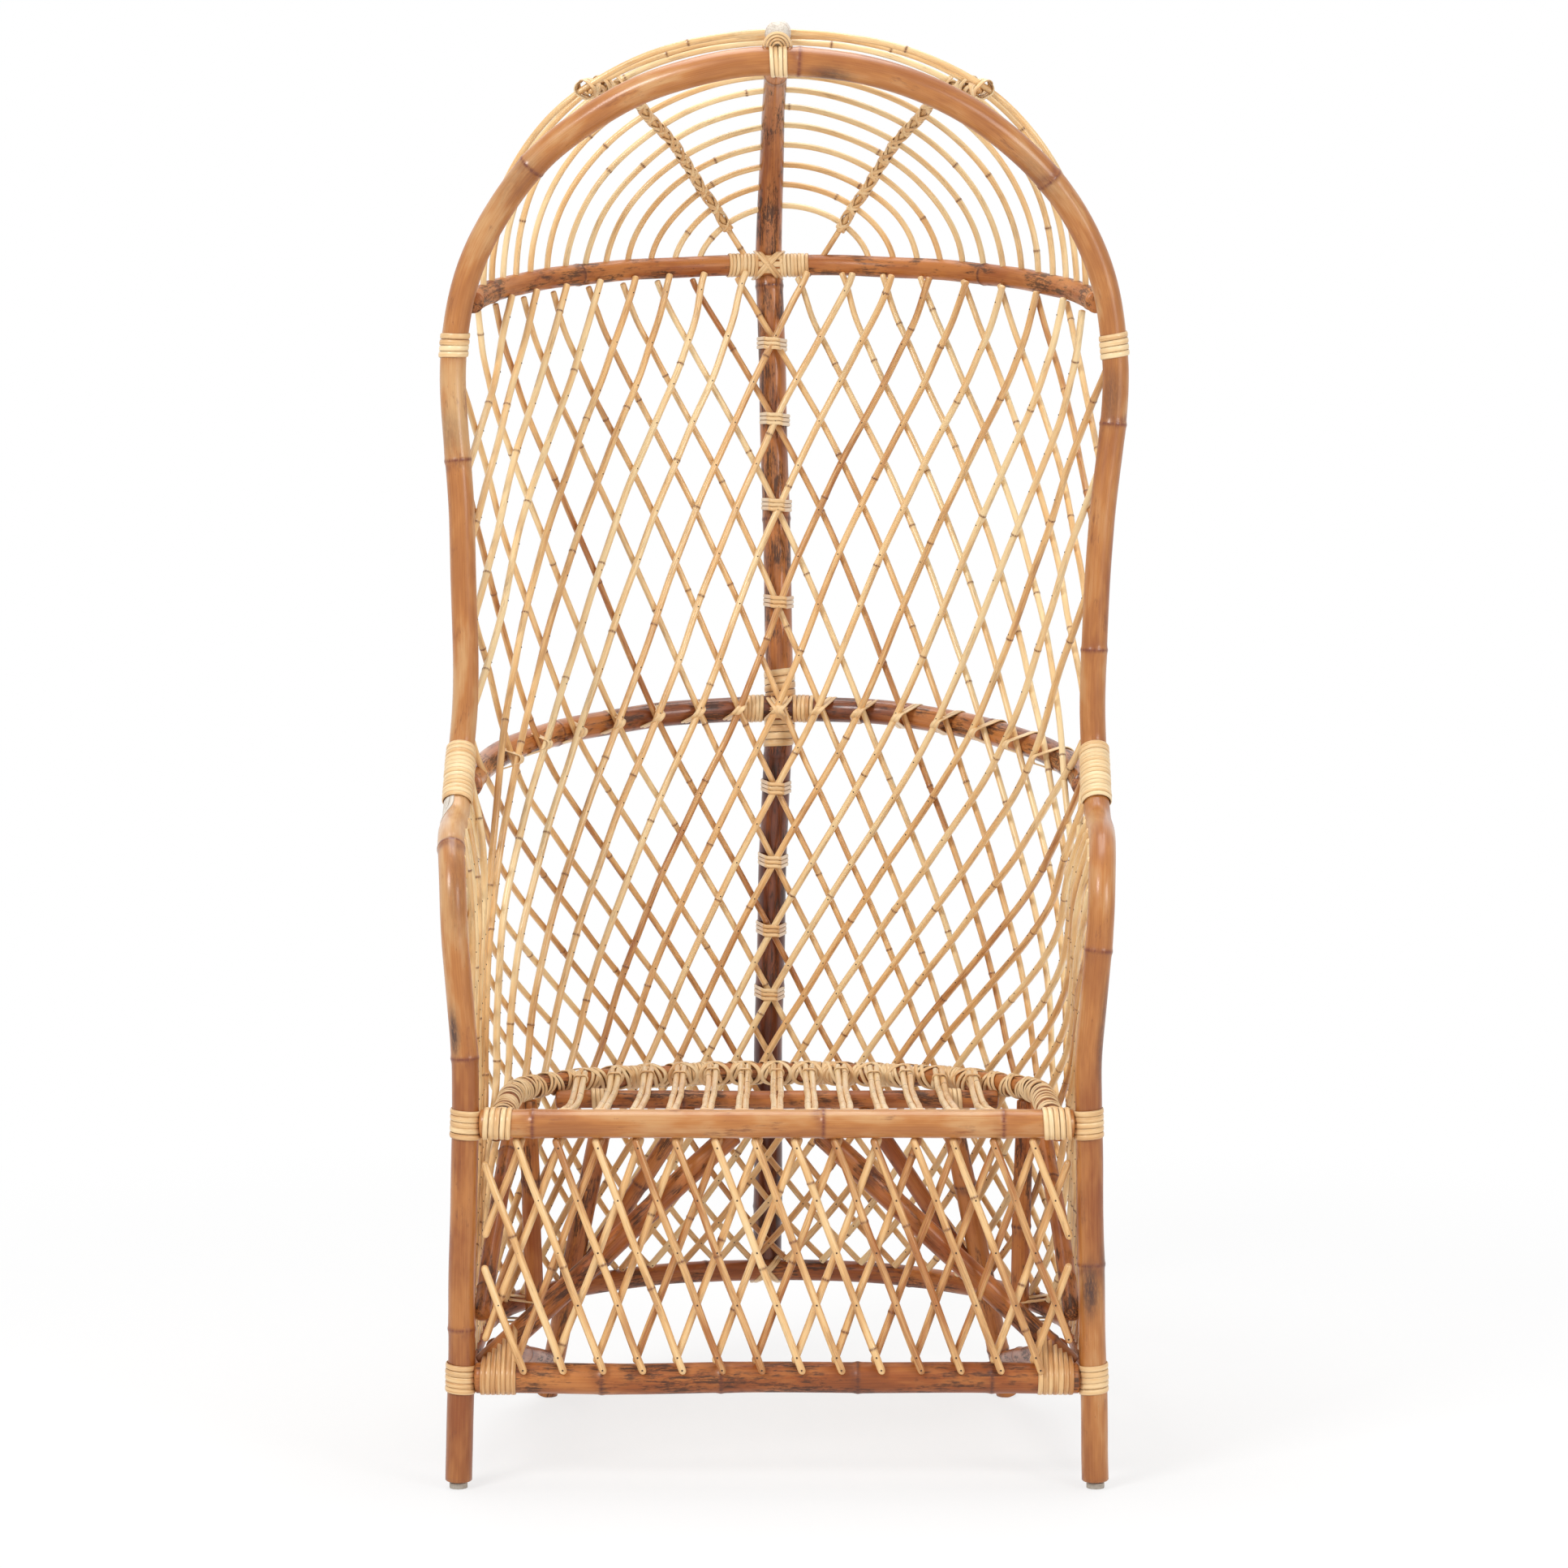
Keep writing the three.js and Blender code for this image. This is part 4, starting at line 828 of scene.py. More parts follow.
OUTER_LIFT = 1.7
OUTER_INSET = MID_RAIL_R + CANE_R + SEAT_GAP + OUTER_LIFT
INNER_INSET = OUTER_INSET + 2 * CANE_R + LAYER_GAP
MID_BULGE = INNER_INSET - UPPER_RAIL_R - CANE_R - SEAT_GAP
HOOD_LAST_ANGLE = math.radians(87)
SIDE_FROM = math.radians(50)
SIDE_LAST_ANGLE = math.radians(129)
LATTICE_STARTS = 28
LATTICE_LOOSE = 0.05
EASE_POINTS = 14
TOP_TIE_ROW = 4
TOP_ROW_RISE = 140
TOP_PARTING_ROWS = 0.5
TOP_PARTING_AT = (0, 0.5, 1.5, 3.5)
TOP_PARTING = (0, 0.2, 0.25, 0)
ROW_STEP = 0.05
LATTICE_ROWS = np.arange(-9.5, 5.55, ROW_STEP)
ROW_GAP = 0.08
SHORTEST_ROWS = 1.5
END_LAP = 1 / 3
ARM_FROM_Z = 600


def row_height(row):
    """Height of a row at the spine."""
    rise, fade = ROWS_UP if row > 0 else ROWS_DOWN
    tied = min(row, TOP_TIE_ROW)
    return MID_RAIL_Z + rise * tied + fade * tied * tied + TOP_ROW_RISE * (row - tied)


def column_turn(row, column):
    """Angle round the wall of a column at a row; the columns draw in below and part under the upper rail."""
    z = row_height(row)
    above = np.clip((row - TOP_TIE_ROW) / TOP_PARTING_ROWS, 0, 1)
    parting = above * np.interp(abs(column), TOP_PARTING_AT, TOP_PARTING)
    column = column + math.copysign(parting, column)
    angle = np.interp(z, RAIL_HEIGHTS, (COLUMN_ANGLE[0], *COLUMN_ANGLE))
    drop = np.clip((MID_RAIL_Z - z) / (MID_RAIL_Z - SEAT_RAIL_Z), 0, 1)
    spread = np.clip((SEAT_RAIL_Z - z) / (SEAT_RAIL_Z - BACK_RAIL_Z), 0, 1)
    angle = angle - COLUMN_DRAW * drop**COLUMN_DRAW_POWER + COLUMN_DRAW / 2 * spread
    inner = np.clip(column, -BACK_COLUMNS, BACK_COLUMNS)
    widening = np.interp(z, RAIL_HEIGHTS, COLUMN_WIDENING)
    return math.radians(angle * (column + widening * inner * (inner / BACK_COLUMNS) ** 2))


def lattice_point(row, column, inset):
    angle = column_turn(row, column)
    point, inward = wall_line(row_height(row), angle)
    turn = np.clip((abs(angle) - SIDE_FROM) / (math.pi / 2 - SIDE_FROM), 0, 1)
    shift = SIDE_SHIFT * turn * turn * (3 - 2 * turn) * min(abs(row) / 2, 1)
    away = MID_BULGE * min(abs(row) / BULGE_ROWS, 1)
    beside = spine_sway(point[2]) * (1 - abs(math.sin(angle))) if abs(angle) < math.pi / 2 else 0
    return point + inward * (inset - away - shift) + at(beside, 0, 0), inward


WALL_BARS = (("front_post_left", POST_R), ("front_post_right", POST_R), ("hood_hoop", HOOP_R),
             ("back_rail", BACK_RAIL_R), ("upper_rail", UPPER_RAIL_R))


def clear_of_bars(point):
    gaps = (np.linalg.norm(poles[name] - point, axis=1).min() - radius for name, radius in WALL_BARS)
    return min(gaps) > 0


def arm_height(depth):
    arm = poles["front_post_right"]
    arm = arm[arm[:, 2] > ARM_FROM_Z]
    return np.interp(depth, arm[:, 1], arm[:, 2])


def inside_wall(row, column, inset):
    """Whether a cane can be at this place, within the rails, the arms and the hoop."""
    turn = abs(column_turn(row, column))
    if (row > 0 and turn > HOOD_LAST_ANGLE) or turn > SIDE_LAST_ANGLE:
        return False
    point, _ = lattice_point(row, column, inset)
    if turn > math.pi / 2 and point[2] > arm_height(point[1]) - POST_R * END_LAP:
        return False
    top = wall_line(UPPER_RAIL_Z, column_turn(row, column))[0]
    if point[2] > top[2] - UPPER_RAIL_R * END_LAP or point[2] < BACK_RAIL_Z + BACK_RAIL_R * END_LAP:
        return False
    return clear_of_bars(point)


NAIL_RINGS = ((1, -0.4), (1, 0.2), (0.5, 0.6))


def nail(batch, place, normal, radius=1.1):
    """A small domed nail head on a cane."""
    normal = unit(normal)
    side = unit(np.cross(normal, at(0.3, 0.2, 1)))
    other = np.cross(normal, side)
    angles = np.linspace(0, math.tau, 7)[:-1]
    flat = side * np.cos(angles)[:, None] + other * np.sin(angles)[:, None]
    rings = np.stack([place + flat * radius * size + normal * lift for size, lift in NAIL_RINGS])
    grain = rings * MM + batch.rng.uniform(-5, 5)
    batch.add(rings, grain, 0.5, 0.0, 0.0)


END_REACH = 48
END_LEAD = 12
END_EASE = 150
END_BARS = np.vstack([poles[name] for name in ("front_post_left", "front_post_right", "hood_hoop")])


def nailed_on(line):
    """A cane whose last point is near a post or the hoop, eased outward so that it ends against that bar."""
    ahead = line[-1] + unit(line[-1] - line[-7]) * END_LEAD
    gaps = np.linalg.norm(END_BARS - ahead, axis=1)
    if gaps.min() > END_REACH:
        return line
    bar = END_BARS[gaps.argmin()]
    move = bar + unit(ahead - bar) * (POST_R - 2) - line[-1]
    away = lengths_of(line[::-1])[::-1]
    return line + move * np.clip(1 - away / END_EASE, 0, 1)[:, None] ** 2


def eased(line):
    """The line with its bends rounded; its ends stay."""
    last = len(line) - 1
    reach = [min(i, last - i, EASE_POINTS) for i in range(last + 1)]
    return np.array([line[i - k:i + k + 1].mean(axis=0) for i, k in enumerate(reach)])


lattice_rng = random.Random("lattice")
lattice_batch = Batch(lattice_rng)
lattice_nails = Batch(lattice_rng)
runs = []
placed = {1: [], -1: []}
for lean, inset in ((1, INNER_INSET), (-1, OUTER_INSET)):
    for start in range(-LATTICE_STARTS, LATTICE_STARTS + 1):
        begin = start + lattice_rng.uniform(-LATTICE_LOOSE, LATTICE_LOOSE)
        rows = [row for row in LATTICE_ROWS if inside_wall(row, begin + lean * row, inset)]
        splits = [i for i in range(1, len(rows)) if rows[i] - rows[i - 1] > ROW_GAP]
        for piece in np.split(np.array(rows), splits):
            if len(piece) * ROW_STEP > SHORTEST_ROWS:
                runs.append((lean, begin, inset, piece))
for lean, begin, inset, rows in runs:
    line = eased(np.array([lattice_point(row, begin + lean * row, inset)[0] for row in rows]))
    line = nailed_on(nailed_on(line)[::-1])[::-1]
    radius = CANE_R if lean == 1 else OUTER_CANE_R
    line = cane(lattice_batch, line, radius, crooked=0.9, spacing=210, ring=1.7)
    placed[lean].append((begin, rows, line))
for begin, rows, line in placed[1]:
    for other, other_rows, _ in placed[-1]:
        row = (other - begin) / 2
        if max(rows[0], other_rows[0]) < row < min(rows[-1], other_rows[-1]):
            _, inward = lattice_point(row, begin + row, INNER_INSET)
            place = np.array([np.interp(row, rows, line[:, axis]) for axis in range(3)])
            nail(lattice_nails, place + inward * CANE_R, inward, radius=0.9)
show("back_lattice_canes", lattice_batch, straw, "pale_cane", "back_lattice")
show("back_lattice_nails", lattice_nails, iron, "pale_cane")

# Front skirt: straight canes that lean both ways, the front layer over the face of the bottom rail

SKIRT_TOP = SEAT_RAIL_Z - SEAT_RAIL_R + 1
SKIRT_LOW = FRONT_RAIL_Z + FRONT_RAIL_R * 0.45
SKIRT_BACK_LOW = FRONT_RAIL_Z + FRONT_RAIL_R
SKIRT_HALF = POST_HALF_SEAT - POST_R - CANE_R - 1
SKIRT_FRONT = -math.sqrt(FRONT_RAIL_R**2 - (SKIRT_LOW - FRONT_RAIL_Z) ** 2) - CANE_R
SKIRT_SLOPE = SKIRT_RUN / SKIRT_RISE
SKIRT_STARTS = 12
SKIRT_STEP = 2.0
SKIRT_TIP = 5


def skirt_tone(tone):
    return 0.28 + 0.9 * min(tone, 0.55)


def skirt_x(z, start, lean):
    return (start + 0.5) * SKIRT_PITCH + lean * (SKIRT_SLOPE * (SKIRT_TOP - z) - SKIRT_RUN / 2)


def skirt_depth(z, lean):
    front = SKIRT_FRONT * (SKIRT_TOP - z) / (SKIRT_TOP - SKIRT_LOW)
    return front if lean == 1 else front + 2 * CANE_R + LAYER_GAP


def skirt_nail(z, start):
    place = at(skirt_x(z, start, 1), skirt_depth(z, 1) - CANE_R, z)
    nail(skirt_nails, place, FORWARD)


skirt_rng = random.Random("skirt")
skirt_batch = Batch(skirt_rng)
skirt_nails = Batch(skirt_rng)
skirt_runs = {1: [], -1: []}
for lean, low in ((1, SKIRT_LOW), (-1, SKIRT_BACK_LOW)):
    for start in range(-SKIRT_STARTS, SKIRT_STARTS + 1):
        heights = np.arange(low, SKIRT_TOP, SKIRT_STEP)
        heights = [z for z in heights if abs(skirt_x(z, start, lean)) < SKIRT_HALF]
        if len(heights) * SKIRT_STEP > SKIRT_PITCH:
            skirt_runs[lean].append((start, heights))
            line = np.array([at(skirt_x(z, start, lean), skirt_depth(z, lean), z) for z in heights])
            cane(skirt_batch, line, CANE_R, crooked=0.8, spacing=190, shade=skirt_tone, swell=0.5, end=5.0)
for start, heights in skirt_runs[1]:
    for other, other_heights in skirt_runs[-1]:
        z = SKIRT_TOP - (SKIRT_RUN + (other - start) * SKIRT_PITCH) / (2 * SKIRT_SLOPE)
        if max(heights[0], other_heights[0]) < z < min(heights[-1], other_heights[-1]):
            skirt_nail(z, start)
    skirt_nail(heights[0] + SKIRT_TIP, start)
show("front_skirt_canes", skirt_batch, straw, "pale_cane", "front_skirt")
show("front_skirt_nails", skirt_nails, iron, "pale_cane")

# Hood: canes bent from rail to rail through the spine, braided to one diagonal rib a side

RIB_FOOT_HALF = 42
RIB_TURNS = np.radians((45.6, 41.4, 39.9, 38.1, 37, 36.2, 35.9, 35.7, 34.7, 33.7, 34.7, 36.7, 39))
ARC_POWER_AT = (0, 5, 9, 12)
ARC_POWER = (1.1, 1.1, 0.92, 0.92)
RIB_CANE_R = 3.7
RIB_REACH = ARC_R + RIB_CANE_R - 0.5
BRAID_R = 4.8
BRAID_STRANDS = ((1, 0.0, 0.6), (-1, 0.0, 0.0), (1, math.pi, 0.6), (-1, math.pi, 0.0))
BRAID_FIRST = 8
KNOT_BULK = 4.5
KNOT_BULK_FROM = 9
CROSS_TILT = 0.9
HOOD_CENTRE = at(0, WALL_CENTRE_DEPTH, UPPER_RAIL_Z)


def arc_point(count, turn):
    side = 1 if turn > 0 else -1
    foot = wall_line(UPPER_RAIL_Z, side * math.radians(ARC_FIRST[0] + ARC_STEP[0] * count))[0]
    top = hood_profile(math.radians(ARC_FIRST[1] + ARC_STEP[1] * count))
    power = np.interp(count, ARC_POWER_AT, ARC_POWER)
    rise = abs(math.cos(turn)) ** power
    spread = side * abs(foot[0]) * abs(math.sin(turn)) ** power
    return at(spread, *(foot[1:] + (top[1:] - foot[1:]) * rise))


def hood_tone(tone):
    return min(tone, 0.36)


hood_rng = random.Random("hood")
hood_batch = Batch(hood_rng)
for count in range(ARC_COUNT):
    line = np.array([arc_point(count, turn) for turn in np.linspace(-math.pi / 2, math.pi / 2, 61)])
    cane(hood_batch, line, ARC_R, crooked=1.0, spacing=230, shade=hood_tone)
braid_batch = Batch(hood_rng)
for _, side in SIDES:
    foot = wall_line(UPPER_RAIL_Z, math.asin(side * RIB_FOOT_HALF / WALL_HALF[2]))[0]
    crossings = [arc_point(count, side * RIB_TURNS[count]) for count in range(ARC_COUNT)]
    inward = [unit(HOOD_CENTRE - place) for place in crossings]
    inner = [place + into * RIB_REACH for place, into in zip(crossings, inward)]
    rib = curve([foot] + inner)
    rib_length = length_of(rib)
    strand(hood_batch, rib, RIB_CANE_R, tone=0.4, nodes=node_marks(rib_length, hood_rng, 200))
    first = mark_of(rib, inner[0]) - BRAID_FIRST
    for hand, phase, lift in BRAID_STRANDS:
        wind(braid_batch, rib, BRAID_R, first, rib_length, ARC_COUNT / 2, width=5.6, hand=hand, lift=lift,
             phase=phase, tone=0.42 + 0.1 * hand, steps=52, face=inward[ARC_COUNT // 2], squash=0.85)
    ahead = unit(np.gradient(np.array(inner), axis=0))
    for count, (place, into, forth) in enumerate(zip(inner, inward, ahead)):
        bulk = KNOT_BULK if count >= KNOT_BULK_FROM else 0
        bundle = ((0, 0, BRAID_R + 0.4 + bulk / 2), (0, -RIB_REACH, ARC_R + bulk))
        for tilt in (CROSS_TILT, -CROSS_TILT):
            lash(braid_batch, place, forth, into, bundle, turns=2 if bulk else 1, width=5.0, tilt=tilt)
show("hood_canes", hood_batch, straw, "pale_cane", "hood_cage_left", "hood_cage_right")
show("hood_rib_braids", braid_batch, cream, "split_cane")

# Seat slats: pairs of canes from the seat rail over the cross rail to the face of the ring

SLAT_REST = 60
SLAT_BUNDLE = ((-SLAT_R, 0, SLAT_R), (SLAT_R, 0, SLAT_R))


def slat_middle(pair):
    return (pair - (SLAT_PAIRS - 1) / 2) * SLAT_PITCH


def slat_tone(tone):
    return 0.5 * tone


slat_rng = random.Random("slats")
slat_batch = Batch(slat_rng)
slat_ties = Batch(slat_rng)
for pair in range(SLAT_PAIRS):
    middle = slat_middle(pair)
    _, back, ring_z = ring_point(math.asin(middle / RING_HALF))
    face = back - SEAT_RING_R
    over = ring_z + SEAT_RING_R + SLAT_R
    dip = CROSS_RAIL_Z + CROSS_RAIL_R + SLAT_R
    profile = [(SEAT_RAIL_R - 3, SEAT_RAIL_Z + 6), (SLAT_REST, SEAT_RAIL_Z + 4), (CROSS_RAIL_DEPTH, dip),
               (face - 24, over - 9), (face + 4, over - 6)]
    if face < CROSS_RAIL_DEPTH + 40:
        profile[2] = ((SLAT_REST + back) / 2, dip + 3)
    pair_line = curve([at(middle, *spot) for spot in profile])
    for _, side in SIDES:
        line = pair_line + at(side * (SLAT_R + 0.2), 0, 0)
        cane(slat_batch, line, SLAT_R, crooked=0.6, spacing=180, shade=slat_tone)
    for mark in (30, length_of(pair_line) - 34 + slat_rng.uniform(-8, 8)):
        place = along(pair_line, [mark])[0]
        lash(slat_ties, place, -FORWARD, UP, SLAT_BUNDLE, turns=2, pitch=3.4, width=3.0, tone=0.4)
show("seat_slat_canes", slat_batch, straw, "pale_cane", "seat_slats")
show("seat_slat_ties", slat_ties, cream, "split_cane")

# Bindings: turns of split cane round the joints

bind_rng = random.Random("bindings")


def bind(batch, line, radius, start, stop, turns, hand=1, face=FORWARD, cover=0.95, tan=0.0):
    """Turns that lie side by side, each with its own tone, joined at the far side of the bar.
    Cover is the share of the bar that the strips hide, and tan makes them browner."""
    pitch = (stop - start) / turns
    for turn in range(turns):
        low = start + pitch * turn + bind_rng.uniform(-0.3, 0.3)
        wind(batch, line, radius, low, low + pitch, 1, width=pitch * cover, hand=hand, phase=math.pi,
             tone=tan + bind_rng.choice(STRIP_TONES), lift=bind_rng.uniform(0, 0.5), face=face)


def bind_pair(stem, draw):
    """A left and a right binding, in place of both CAD nodes."""
    batch = Batch(bind_rng)
    for _, side in SIDES:
        draw(batch, side)
    show(f"{stem}_strips", batch, cream, "split_cane", f"{stem}_left", f"{stem}_right")


def arm_binding(batch, side):
    bar = np.array([near_splice(side, -2 * BINDING_HALF), near_splice(side, 2 * BINDING_HALF)])
    bind(batch, bar, POST_R + 0.8, BINDING_HALF, 3 * BINDING_HALF, 14, hand=side, cover=1.06)


def post_strap(height):
    def draw(batch, side):
        bar = np.array([post_at(side, height - 60), post_at(side, height + 60)])
        bind(batch, bar, POST_R, 44, 76, 5, hand=side, cover=1.0, tan=0.25)
    return draw


def hoop_strap(batch, side):
    mark = nearest_mark(hoop, side * HOOP_HALF, HOOP_STRAP_Z)
    bind(batch, hoop, HOOP_R, mark - 14, mark + 14, 4)


def rail_wrap(name, radius, begin, reach, turns, shift=0):
    def draw(batch, side):
        middle = length_of(poles[name]) / 2 + shift
        inner, outer = sorted((middle + side * begin, middle + side * (begin + reach)))
        bind(batch, poles[name], radius, inner, outer, turns, hand=side)
    return draw


def bottom_wrap(batch, side):
    """Strips round the bottom rail and the brace's foot, so that their upper edge climbs with the brace."""
    climb = (SEAT_RAIL_Z - FRONT_RAIL_Z) / (FRONT_BRACE_HALF[0] - FRONT_BRACE_HALF[1])
    for half in np.linspace(326, 292, 7):
        over = FRONT_RAIL_R + (FRONT_BRACE_HALF[0] - half) * climb
        bundle = ((0, 0, FRONT_POLE_R), (over - 3, -FRONT_BRACE_DEPTH, FRONT_BRACE_R))
        lash(batch, at(side * half, 0, FRONT_RAIL_Z), RIGHT, FORWARD, bundle, turns=1, pitch=1.5,
             width=5.8, tone=bind_rng.uniform(0.6, 0.95))


HOOP_STRAP_Z = 1273
SPINE_WRAP = (17, 45)
LASHING_STRIPS = ((5, 0.3), (8.5, 0.4), (12, 0.2), (15.5, 0.35))
hoop = poles["hood_hoop"]
spine = poles["spine"]
bind_pair("arm_binding", arm_binding)
bind_pair("seat_strap", post_strap(SEAT_RAIL_Z))
bind_pair("bottom_strap", post_strap(FRONT_RAIL_Z))
bind_pair("hoop_strap", hoop_strap)
bind_pair("upper_wrap", rail_wrap("upper_rail", UPPER_RAIL_R, 14, 38, 8, spine_sway(UPPER_RAIL_Z)))
bind_pair("mid_wrap", rail_wrap("mid_rail", MID_POLE_R, 19, 27, 5))
bind_pair("seat_wrap", rail_wrap("seat_rail", SEAT_RAIL_R, 294, 31, 5))
bind_pair("bottom_wrap", bottom_wrap)
for place, sign in (("above", 1), ("below", -1)):
    batch = Batch(bind_rng)
    first, last = sorted(nearest_mark(spine, 0, MID_RAIL_Z + sign * reach) for reach in SPINE_WRAP)
    bind(batch, spine, SPINE_R[1], first, last, 4)
    show(f"spine_wrap_{place}_strips", batch, cream, "split_cane", f"spine_wrap_{place}")
batch = Batch(bind_rng)
hoop_top = nearest_mark(hoop, -4, HOOP_TOP[2])
bind(batch, hoop, HOOP_R + HOOP_SWELL, hoop_top - 10, hoop_top + 10, 4)
turns = np.linspace(-1.5, 1.5, 19)
over = np.column_stack([np.sin(turns), -0.55 * np.cos(turns), np.cos(turns)])
middle = spine[-1] + at(0, 1, -SPINE_R[3] - 1)
for reach, tone in LASHING_STRIPS:
    ribbon(batch, middle + over * at(reach, 14, reach), over + 0.6 * FORWARD, width=4.2, tone=tone)
show("hood_lashing_strips", batch, cream, "split_cane", "hood_lashing")

# Spine tip: a pale sleeve over the cut end, a painted highlight where the pole's top catches the light
TIP_LENGTH = 130
TIP_PAST = 7
spine_end = length_of(spine)
tip_batch = Batch(bind_rng)
tip_line = along(spine, np.linspace(spine_end - TIP_LENGTH, spine_end, 40))
tip_line = np.vstack([tip_line, tip_line[-1] + unit(tip_line[-1] - tip_line[-2]) * TIP_PAST])
strand(tip_batch, tip_line, SPINE_R[3] + 0.35, sides=24, step=4, tone=0.3, end=13.0)
show("spine_tip_sheen", tip_batch, painted_sheen, "dark_pole")

# Left arm: a pale patch below the binding, a painted sheen where the arm's top catches the light
SHEEN_LENGTH = 58
SHEEN_TURNS = np.radians((-68, -50, -32, -14))
sheen_batch = Batch(bind_rng)
arm = poles["front_post_left"]
arm_end = length_of(arm) - BINDING_HALF
sheen_line = along(arm, np.linspace(arm_end - SHEEN_LENGTH, arm_end - 1, 20))
sheen_tangents = unit(np.gradient(sheen_line, axis=0))
for turn in SHEEN_TURNS:
    out = square_to(sheen_tangents, at(math.sin(turn), -math.cos(turn), 0))
    ribbon(sheen_batch, sheen_line + out * (POST_R - 0.2), out, width=5.6, thick=0.9, tone=0.3)
show("arm_sheen", sheen_batch, painted_sheen, "honey_pole")

# Lashings where canes and poles cross

TIE_ROWS = (-4, -3, -2, -1, 1, 2, 3, 4)
TIE_COLUMNS = 7
TIE_TILT_FADE = 0.09
PAD_TURNS = np.radians((-38, 0, 38))


def spine_crossing(z):
    """Point of a wall rail in front of the spine."""
    return sway(wall_line(z, 0)[0])


lashing_batch = Batch(bind_rng)
for row in TIE_ROWS:
    place = sway(spine_at(row_height(row)))
    ahead = place[1] - lattice_point(row, 0, INNER_INSET)[0][1]
    bundle = ((0, 0, SPINE_R[1]), (-5, ahead, CANE_R), (5, ahead, CANE_R))
    lash(lashing_batch, place, UP, FORWARD, bundle, turns=3, pitch=5.2, width=4.8)
for column in range(-TIE_COLUMNS, TIE_COLUMNS + 1):
    place, inward = wall_line(MID_RAIL_Z, column_turn(0, column))
    bundle = ((0, 0, MID_RAIL_R), (0, INNER_INSET, CANE_R))
    tilt = CROSS_TILT - TIE_TILT_FADE * abs(column)
    for slant in (tilt, -tilt) if column == 0 else (tilt,):
        lash(lashing_batch, place, np.cross(inward, UP), inward, bundle, turns=2, pitch=5.8, width=5.8,
             tilt=slant)
crossings = []
for z, rail_r, pole_r, width, tone in ((UPPER_RAIL_Z, UPPER_RAIL_R + 1.6, SPINE_R[2], 4.8, 0.4),
                                       (BACK_RAIL_Z, BACK_RAIL_R, SPINE_R[0], 4.4, 0.3)):
    bundle = ((0, 0, rail_r), (0, -SPINE_SETBACK, pole_r))
    crossings.append((spine_crossing(z), RIGHT, FORWARD, bundle, width, tone))
for _, side in SIDES:
    place, inward = wall_line(BACK_RAIL_Z, side * UPRIGHT_ANGLE)
    bundle = ((0, 0, BACK_RAIL_R), (0, UPRIGHT_INSET, UPRIGHT_R))
    crossings.append((place, np.cross(inward, UP), inward, bundle, 4.4, 0.3))
for tilt in (CROSS_TILT, -CROSS_TILT):
    for place, axis, forward, bundle, width, tone in crossings:
        lash(lashing_batch, place, axis, forward, bundle, turns=2, pitch=4.8, width=width, tilt=tilt,
             tone=tone)
for place, radius, half in ((spine_crossing(UPPER_RAIL_Z), UPPER_RAIL_R, 18),
                            (wall_line(MID_RAIL_Z, 0)[0], MID_RAIL_R, 22)):
    for turn in PAD_TURNS:
        out = at(0, -math.cos(turn), math.sin(turn))
        strip = place + np.outer(np.linspace(-half, half, 9), RIGHT) + out * (radius + SEAT_GAP)
        ribbon(lashing_batch, strip, out, width=7.0, tone=0.3)
show("cane_lashings", lashing_batch, cream, "split_cane")

# Seat ring: loose turns along the sides, crossed turns round the back

BACK_STRIPS = ((1, 0), (1, 8), (-1, 4), (-1, 12))
CLOSE_HALF = 12
CROSS_WRAP = 22
KNOT_TILT = 1.3
ring_batch = Batch(bind_rng)
ring = poles["seat_ring"]
ring_length = length_of(ring)
side_length = RING_CORNER_DEPTH - SEAT_RAIL_R
back_turns = (ring_length - 2 * side_length) / SLAT_PITCH


def loose_turns(start, stop, count, hand, reach):
    """Single turns round the ring at uneven slants, with the pole seen between them."""
    for turn in range(count):
        low = start + (stop - start) * (turn + bind_rng.uniform(0, 0.6)) / count
        wind(ring_batch, ring, RING_POLE_R, low, low + bind_rng.uniform(*reach), 1, width=4.2, hand=hand,
             lift=bind_rng.uniform(0, 1.6), phase=math.pi, tone=bind_rng.choice(STRIP_TONES), face=UP)


for start, stop in ((14, side_length + 60), (ring_length - side_length - 60, ring_length - 44)):
    loose_turns(start, stop, 17, 1, (8, 24))
    loose_turns(start, stop - 20, 6, -1, (18, 34))
for hand, begin in BACK_STRIPS:
    wind(ring_batch, ring, RING_POLE_R, side_length + begin, ring_length - side_length - 16 + begin,
         back_turns, width=5.0, hand=hand, lift=0.8 * (hand > 0) + 0.3, tone=0.25, face=UP)
for pair in range(SLAT_PAIRS):
    angle = math.asin(slat_middle(pair) / RING_HALF)
    tangent = ring_point(angle + 0.01) - ring_point(angle - 0.01)
    for tilt in (KNOT_TILT, -KNOT_TILT):
        lash(ring_batch, ring_point(angle), tangent, UP, ((0, 0, SEAT_RING_R + 0.5),), turns=1, pitch=4.0,
             width=5.4, tilt=tilt)
for gap in CLOSE_TURNS:
    middle = nearest_mark(ring, gap * SLAT_PITCH, RING_BACK_Z)
    bind(ring_batch, ring, RING_POLE_R, middle - CLOSE_HALF, middle + CLOSE_HALF, 5, face=UP)
cross = poles["cross_rail"]
for mark in (44, length_of(cross) - 66):
    bind(ring_batch, cross, CROSS_RAIL_R, mark, mark + CROSS_WRAP, 4)
show("seat_ring_strips", ring_batch, cream, "split_cane", "seat_edge_left", "seat_edge_right")

# Camera: a long lens at two thirds of the chair's height, as the perspective of the photograph shows

EYE = at(0, -4500 + FRONT_Y, 1109)
EYE_PITCH = math.radians(2.862)
lens = bpy.data.cameras.new("camera")
lens.lens = 93.95
lens.sensor_width = 36
lens.shift_x = 0.0045
lens.shift_y = -0.0579
lens.clip_end = 60
camera = add_object("camera", lens)
camera.location = (EYE * MM).tolist()
camera.rotation_euler = (math.pi / 2 - EYE_PITCH, 0, 0)
scene.camera = camera

# Light: a bright studio with a soft key from above the left shoulder


